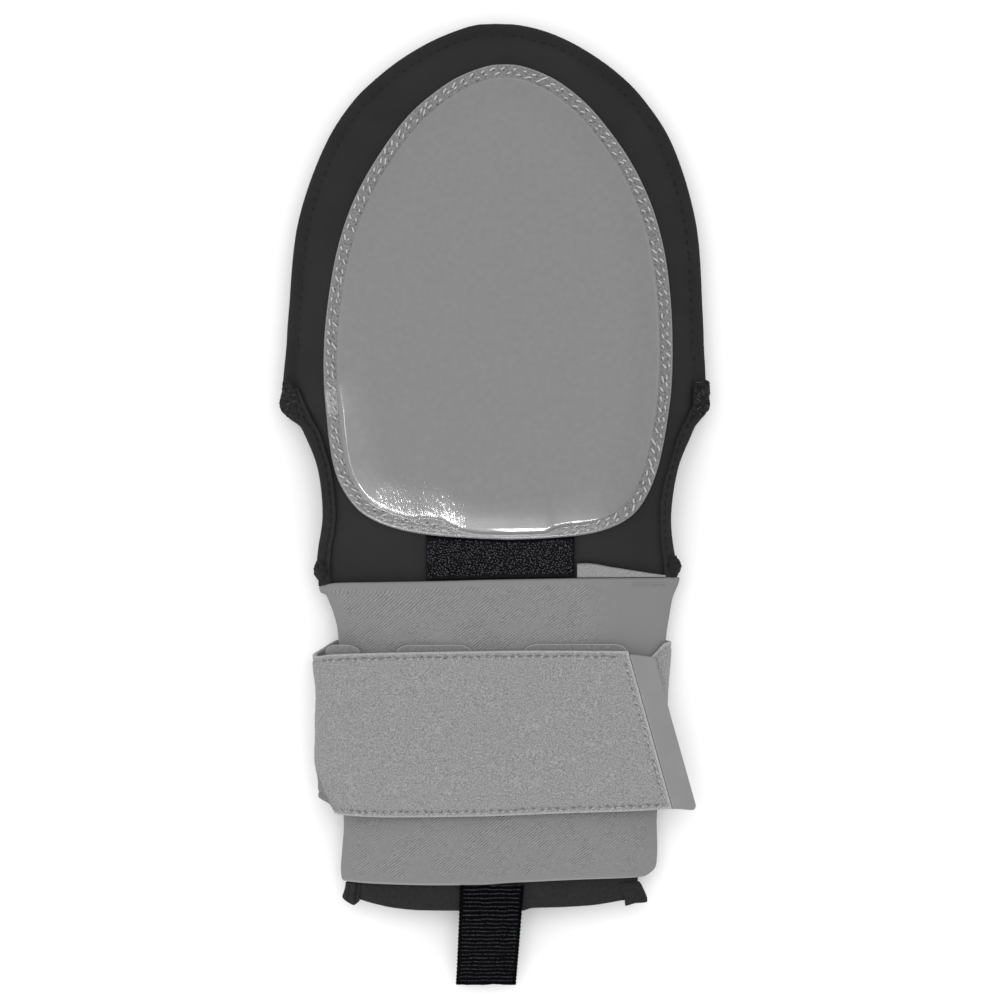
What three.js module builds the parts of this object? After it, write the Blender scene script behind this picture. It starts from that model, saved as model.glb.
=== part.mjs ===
// A sliding mitt, lying palm down.
// X runs across the hand, Y towards the fingers and Z up. Sizes are in millimetres,
// and the origin is on the ground under the middle of the mitt.
import * as THREE from 'three';

// Clearances and walls
const GAP = 0.3;
const SOFT_GAP = 0.75;
const PANEL_WALL = 2.4;
const BAND_WALL = 1.6;
const HEM_WALL = 2.4;
const STRAP_WALL = 1.9;
const PATCH_WALL = 1.1;
const TAB_WALL = 2;
const WEBBING_WALL = 1.8;
const TRIM_WALL = 0.8;

// The padded body
const SEAM_HEIGHT = 10.5;
const SEAM_FLANGE = 4;
const CREST_HEIGHT = 23;
const PUFF_WIDTH = 22;
const PUFF_ROUNDNESS = 2.2;

// The thumb openings, between the upper and the lower thread bars of each side
const THUMB = { top: 30.6, bottom: -20.4, liftBack: 5.5, dropPalm: 5.5 };
const BINDING_WIDTH = 4.5;
const BINDING_INSET = TRIM_WALL + GAP + 0.2;
const UPPER_BAR = { top: 40.6, bottom: 31.4 };
const LOWER_BAR = { top: -21.2, bottom: -25 };
const BAR_REACH = 3;

// Where the body narrows into the wristband
const CUFF_START = -2;
const CUFF_END = -26;
const CUFF_ROUNDNESS = 3;
const SEAM_CLEARANCE = 3.6;
const PANEL_END = -121.7;

// The pad on the back of the hand
const PAD = { gap: 1, flange: 1.4, step: 1.7, stepFrom: 5.6, stepTo: 8, crown: 1.9, crownWidth: 12 };

// Spacing of the modelled points
const EDGE_POINTS = 24;
const END_TRIM = 0.3;
const OUTLINE_STEP = 2;
const OUTLINE_ROUND = { length: 20, steps: 16 };
const PANEL_DEPTHS = [0, 2, SEAM_FLANGE + 0.3, 7.5, 12, 18, SEAM_FLANGE + PUFF_WIDTH];
const PANEL_ROWS = { roundTo: 131, roundSteps: 10, evenFrom: 120, evenSteps: 7, overThumb: 36 };
const WRIST_ROWS = { cuff: [-29.5, -33, -37.5], from: -46, steps: 6 };
const PAD_DEPTHS = [0, 3, PAD.stepFrom, PAD.stepTo, 11, PAD.stepFrom + PAD.crownWidth];
const PAD_ROWS = { roundTo: 122, roundSteps: 7, evenFrom: 110, evenTo: 20, evenSteps: 8 };
const PAD_LOWER_ROWS = { from: 12, steps: 6 };
const MIDDLE_COLUMNS = 4;
const MIDDLE_WIDTH = 8;
const THUMB_STEPS = 9;
const BAR_STEPS = 3;
const TUBE_SIDES = 36;
const STRAP_STEPS = 80;
const PATCH_STEPS = 8;
const PULL_TAB_STEPS = 10;

// Body outline, from the finger tip to the top of the wristband
const BODY = [
  { y: 163.8, left: 0.2, right: 1 },
  { y: 163.4, left: -6.3, right: 7.6 },
  { y: 161.3, left: -13.4, right: 16.5 },
  { y: 157.3, left: -22.6, right: 26 },
  { y: 151.1, left: -32.8, right: 36.2 },
  { y: 144.3, left: -41.3, right: 44.7 },
  { y: 137.5, left: -48.1, right: 51 },
  { y: 123.9, left: -57, right: 60 },
  { y: 96.7, left: -66.8, right: 68.5 },
  { y: 55.9, left: -70.9, right: 70.9 },
  { y: 31.2, left: -71.4, right: 71.4 },
  { y: 26.4, left: -66.6, right: 68.2 },
  { y: 23.3, left: -64.4, right: 66.8 },
  { y: 12.4, left: -60.4, right: 62.4 },
  { y: -3.9, left: -58.7, right: 60 },
  { y: -14.8, left: -60, right: 61 },
  { y: -21, left: -60.6, right: 62.3 },
  { y: -25.7, left: -60, right: 62.1 },
];

// Pad outline, from its narrow upper end to its broad lower end
const PAD_OUTLINE = [
  { y: 148.9, left: 3, right: 4 },
  { y: 148.5, left: -1.6, right: 8.6 },
  { y: 144.3, left: -12.8, right: 19.6 },
  { y: 137.5, left: -22.6, right: 29 },
  { y: 130.7, left: -29.8, right: 35.5 },
  { y: 117.1, left: -39.8, right: 45.4 },
  { y: 103.5, left: -47.3, right: 52.3 },
  { y: 89.9, left: -52.2, right: 56.6 },
  { y: 76.3, left: -55.2, right: 59 },
  { y: 56, left: -57.6, right: 60.3 },
  { y: 34.2, left: -57.3, right: 59.4 },
  { y: 9.7, left: -53.5, right: 54.5 },
  { y: -1.2, left: -46.7, right: 48.9 },
  { y: -5.3, left: -40.8, right: 44.3 },
  { y: -8, left: -33.8, right: 38.9 },
  { y: -10, left: -24.4, right: 31.5 },
  { y: -11.5, left: -7, right: 17 },
  { y: -11.9, left: 4.5, right: 5.5 },
];

// The elastic tube: outer edges, half its height and the height of its middle
const WRISTBAND = [
  { y: -26, left: -60, right: 63.3, half: 8.3, middle: SEAM_HEIGHT },
  { y: -28.6, left: -59.2, right: 62.6, half: 8.3, middle: SEAM_HEIGHT },
  { y: -29.8, left: -57.5, right: 62.1, half: 8.3, middle: SEAM_HEIGHT },
  { y: -32.5, left: -55.9, right: 61, half: 8.3, middle: SEAM_HEIGHT },
  { y: -39.3, left: -53.6, right: 59.4, half: 8.3, middle: SEAM_HEIGHT },
  { y: -46, left: -52.9, right: 58.2, half: 8.3, middle: SEAM_HEIGHT },
  { y: -75, left: -53, right: 56.8, half: 8.3, middle: SEAM_HEIGHT },
  { y: -101, left: -52, right: 55.8, half: 8.3, middle: SEAM_HEIGHT },
  { y: -107.3, left: -51.5, right: 55.3, half: 8.3, middle: 10.3 },
  { y: -120.9, left: -52.2, right: 55.3, half: 8.3, middle: 9.8 },
  { y: -125.6, left: -52.3, right: 54.2, half: 8.3, middle: 9.7 },
  { y: -128.6, left: -51.2, right: 51.4, half: 8.2, middle: 9.7 },
];

// The hem round the mouth; its upper end is inside the elastic
const HEM = [
  { y: -122, left: -48.4, right: 51.2, half: 6.1, middle: 9.8 },
  { y: -128.3, left: -48.4, right: 48.8, half: 6.1, middle: 9.7 },
  { y: -130.6, left: -50.7, right: 50.2, half: 6.3, middle: 9.7 },
  { y: -134.5, left: -51.2, right: 51.4, half: 6.3, middle: 9.6 },
  { y: -137.6, left: -48.8, right: 50, half: 5.9, middle: 9.5 },
];

// The strap's route, from its sewn start at the right, round the back and over the front.
// Each row gives the centre of its thickness and its edges; skew moves the lower edge along the route.
const STRAP = [
  { x: 46.6, z: 18.5, top: -53.5, bottom: -101.9, skew: 0 },
  { x: 52, z: 17.4, top: -52.4, bottom: -101.9, skew: 0 },
  { x: 57.7, z: 15.2, top: -47.2, bottom: -101.9, skew: 0 },
  { x: 59.5, z: 10.6, top: -46.6, bottom: -101.8, skew: 0 },
  { x: 58, z: 5.4, top: -46.3, bottom: -101.8, skew: 0 },
  { x: 53.2, z: 2, top: -46.1, bottom: -101.8, skew: 0 },
  { x: 46, z: 0.95, top: -46.1, bottom: -101.8, skew: 0 },
  { x: 15, z: 0.95, top: -46.1, bottom: -101.8, skew: 0 },
  { x: -15, z: 0.95, top: -46.1, bottom: -101.8, skew: 0 },
  { x: -46, z: 0.95, top: -46.2, bottom: -101.8, skew: 0 },
  { x: -53, z: 1.8, top: -46.3, bottom: -101.2, skew: 0 },
  { x: -58.6, z: 5, top: -49.2, bottom: -100.4, skew: 0 },
  { x: -61, z: 10, top: -51, bottom: -99.6, skew: 0 },
  { x: -60.4, z: 15, top: -51.5, bottom: -99.8, skew: 0 },
  { x: -56.8, z: 19.3, top: -51.3, bottom: -102.4, skew: 0 },
  { x: -50, z: 21.2, top: -50.9, bottom: -105.4, skew: 0 },
  { x: -36, z: 21.6, top: -50.5, bottom: -106.1, skew: 2 },
  { x: -12, z: 21.6, top: -50, bottom: -106.2, skew: 6 },
  { x: 14, z: 21.6, top: -49.8, bottom: -105.6, skew: 10 },
  { x: 36, z: 21.3, top: -49.8, bottom: -104.4, skew: 13.4 },
  { x: 45.2, z: 20.7, top: -49.8, bottom: -103.3, skew: 15 },
  { x: 53.8, z: 19.6, top: -50.6, bottom: -103.8, skew: 14.8 },
];
const FRONT_RUN_START = 13;
const STRAP_END = 20;
const TAB = { joint: 0.05, inset: 1.1, steps: 4 };
const HOOK_PATCHES = [
  { name: 'hook_patch_left', from: -58.2, to: -45.8, top: -47.7, bottom: -98 },
  { name: 'hook_patch_middle', from: -33.1, to: -7.7, top: -47.7, bottom: -100 },
  { name: 'hook_patch_right', from: 10, to: 44.9, top: -47.4, bottom: -100 },
];

// The pull tab leans a little to the left as it leaves the mouth
const PULL_TAB = [
  { y: -129.2, z: 17.3, left: -11.7, right: 10 },
  { y: -138, z: 17.1, left: -12, right: 9.3 },
  { y: -146, z: 15, left: -12.3, right: 8.7 },
  { y: -155, z: 11.6, left: -12.7, right: 8 },
  { y: -163.5, z: 8.4, left: -13.2, right: 7.3 },
];

// Patches on the slope between the pad and the wristband
const LOOP_PATCH = { left: -22.9, right: 27.3, bottom: -25.3 };
const FACING = [
  { x: 28, top: -20, bottom: -25.3 },
  { x: 31.1, top: -19.9, bottom: -25.3 },
  { x: 40.3, top: -21.3, bottom: -25.3 },
  { x: 53.6, top: -23.4, bottom: -25.3 },
  { x: 58, top: -24, bottom: -25.3 },
];

const clamp = (value, low, high) => Math.min(Math.max(value, low), high);
const mix = (a, b, share) => a + (b - a) * share;

function evenly(from, to, steps) {
  return Array.from({ length: steps + 1 }, (_, k) => mix(from, to, k / steps));
}

// Steps that start close together and widen, for a rounded end
function roundEnd(from, to, steps) {
  return evenly(0, Math.PI / 2, steps).map((angle) => mix(from, to, 1 - Math.cos(angle)));
}

// A smooth line through one column of a table, with no overshoot between its rows
function follow(table, key, column) {
  const rows = [...table].sort((a, b) => a[key] - b[key]);
  const rises = rows.slice(1).map((row, k) => row[column] - rows[k][column]);
  const slopes = rises.map((rise, k) => rise / (rows[k + 1][key] - rows[k][key]));
  const tangents = rows.map((_, k) => {
    if (k === 0 || k === rows.length - 1) return slopes[Math.min(k, slopes.length - 1)];
    const [before, after] = [slopes[k - 1], slopes[k]];
    return before * after > 0 ? (2 * before * after) / (before + after) : 0;
  });
  return (at) => {
    const where = clamp(at, rows[0][key], rows[rows.length - 1][key]);
    const k = clamp(rows.findIndex((row) => row[key] >= where) - 1, 0, rows.length - 2);
    const span = rows[k + 1][key] - rows[k][key];
    const t = (where - rows[k][key]) / span;
    const rise = rises[k];
    const start = span * tangents[k];
    const end = span * tangents[k + 1];
    const curve = t * start + t ** 2 * (3 * rise - 2 * start - end) + t ** 3 * (start + end - 2 * rise);
    return rows[k][column] + curve;
  };
}

// An edge of a plan table: a smooth curve through its rows, read off as x at a given y
function edgeLine(table, column) {
  const rows = table.map((row) => new THREE.Vector3(row[column], row.y, 0));
  const points = new THREE.CatmullRomCurve3(rows).getPoints(rows.length * EDGE_POINTS);
  return (y) => {
    const found = points.findIndex((point) => point.y <= y);
    const k = found < 0 ? points.length - 1 : Math.max(found, 1);
    const [above, below] = [points[k - 1], points[k]];
    const t = clamp((above.y - y) / Math.max(above.y - below.y, 1e-9), 0, 1);
    return mix(above.x, below.x, t);
  };
}

// Skins a row of equal loops of points, each out along one face of the piece and back along the other.
// The ends are closed unless the loops run round in a ring.
function loft(loops, ring = false) {
  const size = loops[0].length;
  const triangles = [];
  const quad = (a, b, c, d) => triangles.push(a, b, c, a, c, d);
  const bands = ring ? loops.length : loops.length - 1;
  for (let band = 0; band < bands; band += 1) {
    const here = band * size;
    const next = ((band + 1) % loops.length) * size;
    for (let k = 0; k < size; k += 1) {
      const k2 = (k + 1) % size;
      quad(here + k, next + k, next + k2, here + k2);
    }
  }
  if (!ring) {
    const last = (loops.length - 1) * size;
    for (let k = 0; k < size / 2 - 1; k += 1) {
      const back = size - 1 - k;
      quad(k, k + 1, back - 1, back);
      quad(last + k, last + back, last + back - 1, last + k + 1);
    }
  }
  const geometry = new THREE.BufferGeometry();
  const places = loops.flat().flatMap((p) => [p.x, p.y, p.z]);
  geometry.setAttribute('position', new THREE.Float32BufferAttribute(places, 3));
  geometry.setIndex(enclosedVolume(places, triangles) < 0 ? triangles.reverse() : triangles);
  geometry.computeVertexNormals();
  return geometry;
}

function enclosedVolume(places, triangles) {
  let volume = 0;
  const corner = (index) => new THREE.Vector3().fromArray(places, index * 3);
  for (let k = 0; k < triangles.length; k += 3) {
    const [a, b, c] = [corner(triangles[k]), corner(triangles[k + 1]), corner(triangles[k + 2])];
    volume += a.dot(b.cross(c)) / 6;
  }
  return volume;
}

// A closed sheet over a grid of plan points, between a lower and an upper surface
function sheet(grid, lower, upper) {
  return loft(grid.map((row) => {
    const top = row.map(([x, y]) => new THREE.Vector3(x, y, upper(x, y)));
    const bottom = row.map(([x, y]) => new THREE.Vector3(x, y, lower(x, y)));
    return [...top, ...bottom.reverse()];
  }));
}

// Plan points in rows across the mitt: some at given depths from each edge, the others evenly between
function gridAcross(ys, left, right, depths) {
  const deepest = depths[depths.length - 1];
  return ys.map((y) => {
    const [from, to] = [left(y), right(y)];
    const squeeze = Math.min(1, (to - from) / (2 * deepest + MIDDLE_WIDTH));
    const near = depths.map((depth) => from + depth * squeeze);
    const far = depths.map((depth) => to - depth * squeeze).reverse();
    const middle = evenly(near[near.length - 1], far[0], MIDDLE_COLUMNS).slice(1, -1);
    return [...near, ...middle, ...far].map((x) => [x, y]);
  });
}

// Plan points in columns between an upper and a lower edge
function gridBetween(xs, top, bottom, rows) {
  return xs.map((x) => evenly(0, 1, rows).map((share) => [x, mix(top(x), bottom(x), share)]));
}

// An elastic or hem tube: a flattened ring whose size follows a table
function tube(table, ys, wall, sides) {
  const [left, right] = ['left', 'right'].map((column) => edgeLine(table, column));
  const [half, middle] = ['half', 'middle'].map((column) => follow(table, 'y', column));
  const bend = (value) => Math.sign(value) * Math.abs(value) ** (2 / CUFF_ROUNDNESS);
  const point = (angle, y, inset) => new THREE.Vector3(
    (left(y) + right(y)) / 2 + ((right(y) - left(y)) / 2 - inset) * bend(Math.cos(angle)),
    y,
    middle(y) + (half(y) - inset) * bend(Math.sin(angle)),
  );
  const loops = evenly(0, 2 * Math.PI, sides).slice(0, -1).map((angle) => {
    const outer = ys.map((y) => point(angle, y, 0));
    const inner = ys.map((y) => point(angle, y, wall));
    return [...outer, ...inner.reverse()];
  });
  return loft(loops, true);
}

// Outlines of the two panels, the pad and the wristband
const bodyLeft = edgeLine(BODY, 'left');
const bodyRight = edgeLine(BODY, 'right');
const padLeft = edgeLine(PAD_OUTLINE, 'left');
const padRight = edgeLine(PAD_OUTLINE, 'right');
const bandLeft = edgeLine(WRISTBAND, 'left');
const bandRight = edgeLine(WRISTBAND, 'right');
const bandHalf = follow(WRISTBAND, 'y', 'half');
const seamHeight = follow(WRISTBAND, 'y', 'middle');

function outlinePoints(table, left, right) {
  const top = table[0].y;
  const bottom = table[table.length - 1].y;
  const roundTo = top - OUTLINE_ROUND.length;
  const round = roundEnd(top, roundTo, OUTLINE_ROUND.steps);
  const ys = [...round, ...evenly(roundTo, bottom, Math.ceil((roundTo - bottom) / OUTLINE_STEP))];
  const down = ys.map((y) => new THREE.Vector2(left(y), y)).reverse();
  return [...down, ...ys.map((y) => new THREE.Vector2(right(y), y))];
}

function distanceTo(outline) {
  return (x, y) => {
    const point = new THREE.Vector2(x, y);
    let nearest = Infinity;
    for (let k = 1; k < outline.length; k += 1) {
      const edge = outline[k].clone().sub(outline[k - 1]);
      const from = point.clone().sub(outline[k - 1]);
      const t = clamp(from.dot(edge) / Math.max(edge.lengthSq(), 1e-9), 0, 1);
      nearest = Math.min(nearest, from.sub(edge.multiplyScalar(t)).length());
    }
    return nearest;
  };
}

const toSeam = distanceTo(outlinePoints(BODY, bodyLeft, bodyRight));
const padOutline = outlinePoints(PAD_OUTLINE, padLeft, padRight);
const toPadEdge = distanceTo([...padOutline, padOutline[0]]);

const THUMB_ROWS = evenly(THUMB.top - GAP, THUMB.bottom + GAP, THUMB_STEPS);

// How far the padding has risen at a distance from the seam, from 0 to 1
function puff(distance) {
  const t = clamp((distance - SEAM_FLANGE) / PUFF_WIDTH, 0, 1);
  return 1 - (1 - t) ** PUFF_ROUNDNESS;
}

// How far a thumb opening gapes, from 0 at its ends to 1 half way
function gape(y) {
  const t = (y - THUMB.bottom) / (THUMB.top - THUMB.bottom);
  return Math.max(0, 4 * t * (1 - t));
}

function cuffShare(y) {
  return THREE.MathUtils.smoothstep(-y, -CUFF_START, -CUFF_END);
}

// Half the height of the two panels inside the wristband
function cuffRise(x, y) {
  const inset = BAND_WALL + SOFT_GAP;
  const reach = (bandRight(y) - bandLeft(y)) / 2 - inset;
  const u = Math.abs(x - (bandLeft(y) + bandRight(y)) / 2) / reach;
  const rise = Math.max(0, 1 - u ** CUFF_ROUNDNESS) ** (1 / CUFF_ROUNDNESS);
  return Math.max((bandHalf(y) - inset) * rise, PANEL_WALL + GAP / 2);
}

function backTop(x, y) {
  const edge = SEAM_HEIGHT + GAP / 2 + PANEL_WALL + THUMB.liftBack * gape(y);
  const body = mix(edge, CREST_HEIGHT, puff(toSeam(x, y)));
  return mix(body, seamHeight(y) + cuffRise(x, y), cuffShare(y));
}

function backInside(x, y) {
  return Math.max(backTop(x, y) - PANEL_WALL, seamHeight(y) + GAP / 2);
}

function palmBottom(x, y) {
  const edge = SEAM_HEIGHT - GAP / 2 - PANEL_WALL - THUMB.dropPalm * gape(y);
  const body = mix(edge, 0, puff(toSeam(x, y)));
  return mix(body, seamHeight(y) - cuffRise(x, y), cuffShare(y));
}

function palmInside(x, y) {
  return Math.min(palmBottom(x, y) + PANEL_WALL, seamHeight(y) - GAP / 2);
}

// The panels share one plan: full width along the seam, set back behind the bindings at the thumb
// openings, and narrow enough for the elastic below them
function panelGrid() {
  const setBack = (edge) => (y) => edge(y) + stepInwards(edge, y, BINDING_INSET);
  const tip = roundEnd(BODY[0].y - END_TRIM, PANEL_ROWS.roundTo, PANEL_ROWS.roundSteps);
  const fingers = evenly(PANEL_ROWS.evenFrom, UPPER_BAR.top, PANEL_ROWS.evenSteps);
  const overThumb = [PANEL_ROWS.overThumb, THUMB.top + 2 * GAP];
  const underThumb = [THUMB.bottom - 2 * GAP, LOWER_BAR.bottom + GAP];
  const wrist = [CUFF_END, ...WRIST_ROWS.cuff, ...evenly(WRIST_ROWS.from, PANEL_END, WRIST_ROWS.steps)];
  const wristLeft = (y) => bandLeft(y) + SEAM_CLEARANCE;
  const wristRight = (y) => bandRight(y) - SEAM_CLEARANCE;
  return [
    ...gridAcross([...tip, ...fingers, ...overThumb], bodyLeft, bodyRight, PANEL_DEPTHS),
    ...gridAcross(THUMB_ROWS, setBack(bodyLeft), setBack(bodyRight), PANEL_DEPTHS),
    ...gridAcross(underThumb, bodyLeft, bodyRight, PANEL_DEPTHS),
    ...gridAcross(wrist, wristLeft, wristRight, PANEL_DEPTHS),
  ];
}

// From its stitched flange the pad steps up to a low crown
function padTop(x, y) {
  const depth = toPadEdge(x, y);
  const step = PAD.step * THREE.MathUtils.smoothstep(depth, PAD.stepFrom, PAD.stepTo);
  const crown = PAD.crown * (1 - (1 - clamp((depth - PAD.stepFrom) / PAD.crownWidth, 0, 1)) ** 2);
  return backTop(x, y) + PAD.gap + PAD.flange + step + crown;
}

function padGrid() {
  const upper = roundEnd(PAD_OUTLINE[0].y - END_TRIM, PAD_ROWS.roundTo, PAD_ROWS.roundSteps);
  const middle = evenly(PAD_ROWS.evenFrom, PAD_ROWS.evenTo, PAD_ROWS.evenSteps);
  const lowest = PAD_OUTLINE[PAD_OUTLINE.length - 1].y + END_TRIM;
  const lower = roundEnd(lowest, PAD_LOWER_ROWS.from, PAD_LOWER_ROWS.steps);
  return gridAcross([...upper, ...middle, ...lower.reverse()], padLeft, padRight, PAD_DEPTHS);
}

// A distance inwards from the edge, as a step along X; steep stretches of the edge need a longer step
function stepInwards(edge, y, depth) {
  const probe = 0.5;
  const slope = (edge(y + probe) - edge(y - probe)) / (2 * probe);
  return depth * Math.hypot(1, slope) * (edge === bodyLeft ? 1 : -1);
}

// A strip along the body's edge, with a section at each of the given places
function edgeTrim(edge, ys, section) {
  return loft(ys.map((y) => section(y, (depth) => [edge(y) + stepInwards(edge, y, depth), y])));
}

const at = ([x, y], z) => new THREE.Vector3(x, y, z);

// The binding covers the panel's border and closes over its edge
function binding(edge) {
  return edgeTrim(edge, THUMB_ROWS, (y, place) => {
    const under = (depth) => backTop(...place(depth)) + mix(GAP, SOFT_GAP, depth / BINDING_WIDTH);
    const panelBottom = backInside(...place(1));
    return [
      at(place(BINDING_WIDTH), under(BINDING_WIDTH) + TRIM_WALL),
      at(place(0), under(1) + TRIM_WALL),
      at(place(0), panelBottom),
      at(place(TRIM_WALL), panelBottom),
      at(place(TRIM_WALL), under(1)),
      at(place(BINDING_WIDTH), under(BINDING_WIDTH)),
    ];
  });
}

// A thread bar clasps both panels at the seam
function threadBar(edge, span) {
  return edgeTrim(edge, evenly(span.top, span.bottom, BAR_STEPS), (y, place) => {
    const gap = (depth) => mix(GAP, SOFT_GAP, depth / BAR_REACH);
    const top = (depth) => backTop(...place(depth)) + gap(depth);
    const bottom = (depth) => palmBottom(...place(depth)) - gap(depth);
    const outside = -GAP - TRIM_WALL;
    return [
      at(place(BAR_REACH), top(BAR_REACH) + TRIM_WALL),
      at(place(outside), top(1) + TRIM_WALL),
      at(place(outside), bottom(1) - TRIM_WALL),
      at(place(BAR_REACH), bottom(BAR_REACH) - TRIM_WALL),
      at(place(BAR_REACH), bottom(BAR_REACH)),
      at(place(-GAP), bottom(1)),
      at(place(-GAP), top(1)),
      at(place(BAR_REACH), top(BAR_REACH)),
    ];
  });
}

// The strap's centre line and edges at a place on its route, counted in rows of the table
const strapRows = STRAP.map((row, step) => ({ ...row, step }));
const [strapX, strapZ, strapTop, strapBottom, strapSkew] = ['x', 'z', 'top', 'bottom', 'skew']
  .map((column) => follow(strapRows, 'step', column));

// A corner of a ribbon that runs along the route, raised from the strap's centre line
function onStrap(step, lift, y, skew) {
  const probe = 0.02;
  const along = new THREE.Vector2(
    strapX(step + probe) - strapX(step - probe),
    strapZ(step + probe) - strapZ(step - probe),
  ).normalize();
  return new THREE.Vector3(strapX(step) + skew - along.y * lift, y, strapZ(step) + along.x * lift);
}

function ribbon(steps, inner, outer, top, bottom, skew) {
  return loft(steps.map((step) => [
    onStrap(step, outer, top(step), 0),
    onStrap(step, outer, bottom(step), skew(step)),
    onStrap(step, inner, bottom(step), skew(step)),
    onStrap(step, inner, top(step), 0),
  ]));
}

function strap() {
  const half = STRAP_WALL / 2;
  return ribbon(evenly(0, STRAP_END, STRAP_STEPS), -half, half, strapTop, strapBottom, strapSkew);
}

// The place on the front run where the route reaches a given x
function frontRunAt(x) {
  let [low, high] = [FRONT_RUN_START, STRAP_END];
  for (let turn = 0; turn < 30; turn += 1) {
    const middle = (low + high) / 2;
    [low, high] = strapX(middle) < x ? [middle, high] : [low, middle];
  }
  return low;
}

function hookPatch({ from, to, top, bottom }) {
  const steps = evenly(frontRunAt(from), frontRunAt(to), PATCH_STEPS);
  const outer = -STRAP_WALL / 2 - GAP;
  return ribbon(steps, outer - PATCH_WALL, outer, () => top, () => bottom, () => 0);
}

// The tab carries on where the strap's slanted end stops
function strapTab() {
  const steps = evenly(STRAP_END + TAB.joint, STRAP.length - 1, TAB.steps);
  const half = TAB_WALL / 2;
  return ribbon(steps, -half, half, (step) => strapTop(step) - TAB.inset, strapBottom, strapSkew);
}

function loopPatch() {
  const xs = evenly(LOOP_PATCH.left, LOOP_PATCH.right, PATCH_STEPS);
  const lowerPad = padOutline.filter((point) => point.y < 0);
  const padEdge = follow(lowerPad, 'x', 'y');
  const grid = gridBetween(xs, (x) => padEdge(x) - GAP, () => LOOP_PATCH.bottom, 3);
  return sheet(grid, (x, y) => backTop(x, y) + SOFT_GAP, (x, y) => backTop(x, y) + SOFT_GAP + PATCH_WALL);
}

function facingStrip() {
  const xs = evenly(FACING[0].x, FACING[FACING.length - 1].x, PATCH_STEPS);
  const grid = gridBetween(xs, follow(FACING, 'x', 'top'), follow(FACING, 'x', 'bottom'), 2);
  return sheet(grid, (x, y) => backTop(x, y) + SOFT_GAP, (x, y) => backTop(x, y) + SOFT_GAP + PATCH_WALL);
}

function pullTab() {
  const [left, right, height] = ['left', 'right', 'z'].map((column) => follow(PULL_TAB, 'y', column));
  const ys = evenly(PULL_TAB[0].y, PULL_TAB[PULL_TAB.length - 1].y, PULL_TAB_STEPS);
  const grid = ys.map((y) => [[left(y), y], [right(y), y]]);
  const half = WEBBING_WALL / 2;
  return sheet(grid, (x, y) => height(y) - half, (x, y) => height(y) + half);
}

function material(color, roughness) {
  return new THREE.MeshStandardMaterial({ color, roughness, metalness: 0 });
}

const black = material('#2f2f30', 0.75);
const blackTrim = material('#26262a', 0.8);
const greyRubber = material('#8b8b8b', 0.35);
const greyElastic = material('#8b8b8b', 0.85);
const greyLoop = material('#9c9c9c', 0.95);
const darkPile = material('#1c1c20', 0.95);
const webbing = material('#17171b', 0.85);

const mitt = new THREE.Group();

function add(name, geometry, surface) {
  const mesh = new THREE.Mesh(geometry, surface);
  mesh.name = name;
  mitt.add(mesh);
}

add('back_panel', sheet(panelGrid(), backInside, backTop), black);
add('palm_panel', sheet(panelGrid(), palmBottom, palmInside), black);
add('guard_pad', sheet(padGrid(), (x, y) => backTop(x, y) + PAD.gap, padTop), greyRubber);

for (const [side, edge] of [['left', bodyLeft], ['right', bodyRight]]) {
  add(`thumb_binding_${side}`, binding(edge), blackTrim);
  add(`bar_tack_upper_${side}`, threadBar(edge, UPPER_BAR), blackTrim);
  add(`bar_tack_lower_${side}`, threadBar(edge, LOWER_BAR), blackTrim);
}

add('loop_patch', loopPatch(), darkPile);
add('facing_strip', facingStrip(), greyLoop);
add('wristband', tube(WRISTBAND, WRISTBAND.map((row) => row.y), BAND_WALL, TUBE_SIDES), greyElastic);
add('wrist_hem', tube(HEM, HEM.map((row) => row.y), HEM_WALL, TUBE_SIDES), blackTrim);
add('strap', strap(), greyLoop);
add('strap_tab', strapTab(), greyRubber);
for (const patch of HOOK_PATCHES) add(patch.name, hookPatch(patch), greyLoop);
add('pull_tab', pullTab(), webbing);

export default mitt;
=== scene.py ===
"""A sliding mitt, lying palm down, with its fabric, rubber, elastic, thread and webbing.

Tables and heights are in millimetres, in the part's own frame: X across the hand, Y towards the
fingers and Z up from the floor. Meshes are made in metres.
"""

import math

import bmesh
import bpy
import numpy as np
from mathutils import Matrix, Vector
from mathutils.kdtree import KDTree


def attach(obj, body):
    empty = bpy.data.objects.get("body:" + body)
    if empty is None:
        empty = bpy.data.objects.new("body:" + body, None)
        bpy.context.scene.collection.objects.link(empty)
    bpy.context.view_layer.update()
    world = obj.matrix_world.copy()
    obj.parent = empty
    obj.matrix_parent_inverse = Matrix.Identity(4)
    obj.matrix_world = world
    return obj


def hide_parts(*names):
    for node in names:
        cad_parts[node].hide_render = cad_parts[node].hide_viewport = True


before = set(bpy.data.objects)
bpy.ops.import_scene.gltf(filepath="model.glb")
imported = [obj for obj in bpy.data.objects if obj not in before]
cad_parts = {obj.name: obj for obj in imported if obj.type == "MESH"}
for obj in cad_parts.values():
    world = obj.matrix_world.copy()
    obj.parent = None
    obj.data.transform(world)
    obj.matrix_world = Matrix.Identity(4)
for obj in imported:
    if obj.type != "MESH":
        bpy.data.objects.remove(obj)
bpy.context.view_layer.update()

MM = 0.001
TINY = 1e-9

# Mesh making: how near points are joined, in metres, and how finely curves, lines and edges are cut
SAME_POINT = 1e-7
CURVE_STEPS = 40
LINE_STEP = 0.8
PATCH_STEP = 0.6
EDGE_DEPTHS = np.array([0, 0.08, 0.3, 0.65, 1.1])

# The relief that a material reads on plain cloth; 0 is a hollow and 1 a crest
PLAIN = 0.5

# Clearances and walls
GAP = 0.3
SOFT_GAP = 0.75
PANEL_WALL = 2.4
BAND_WALL = 1.6
HEM_WALL = 2.4
STRAP_WALL = 1.9
PATCH_WALL = 1.1
TAB_WALL = 2
WEBBING_WALL = 1.8
TRIM_WALL = 0.8

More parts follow.
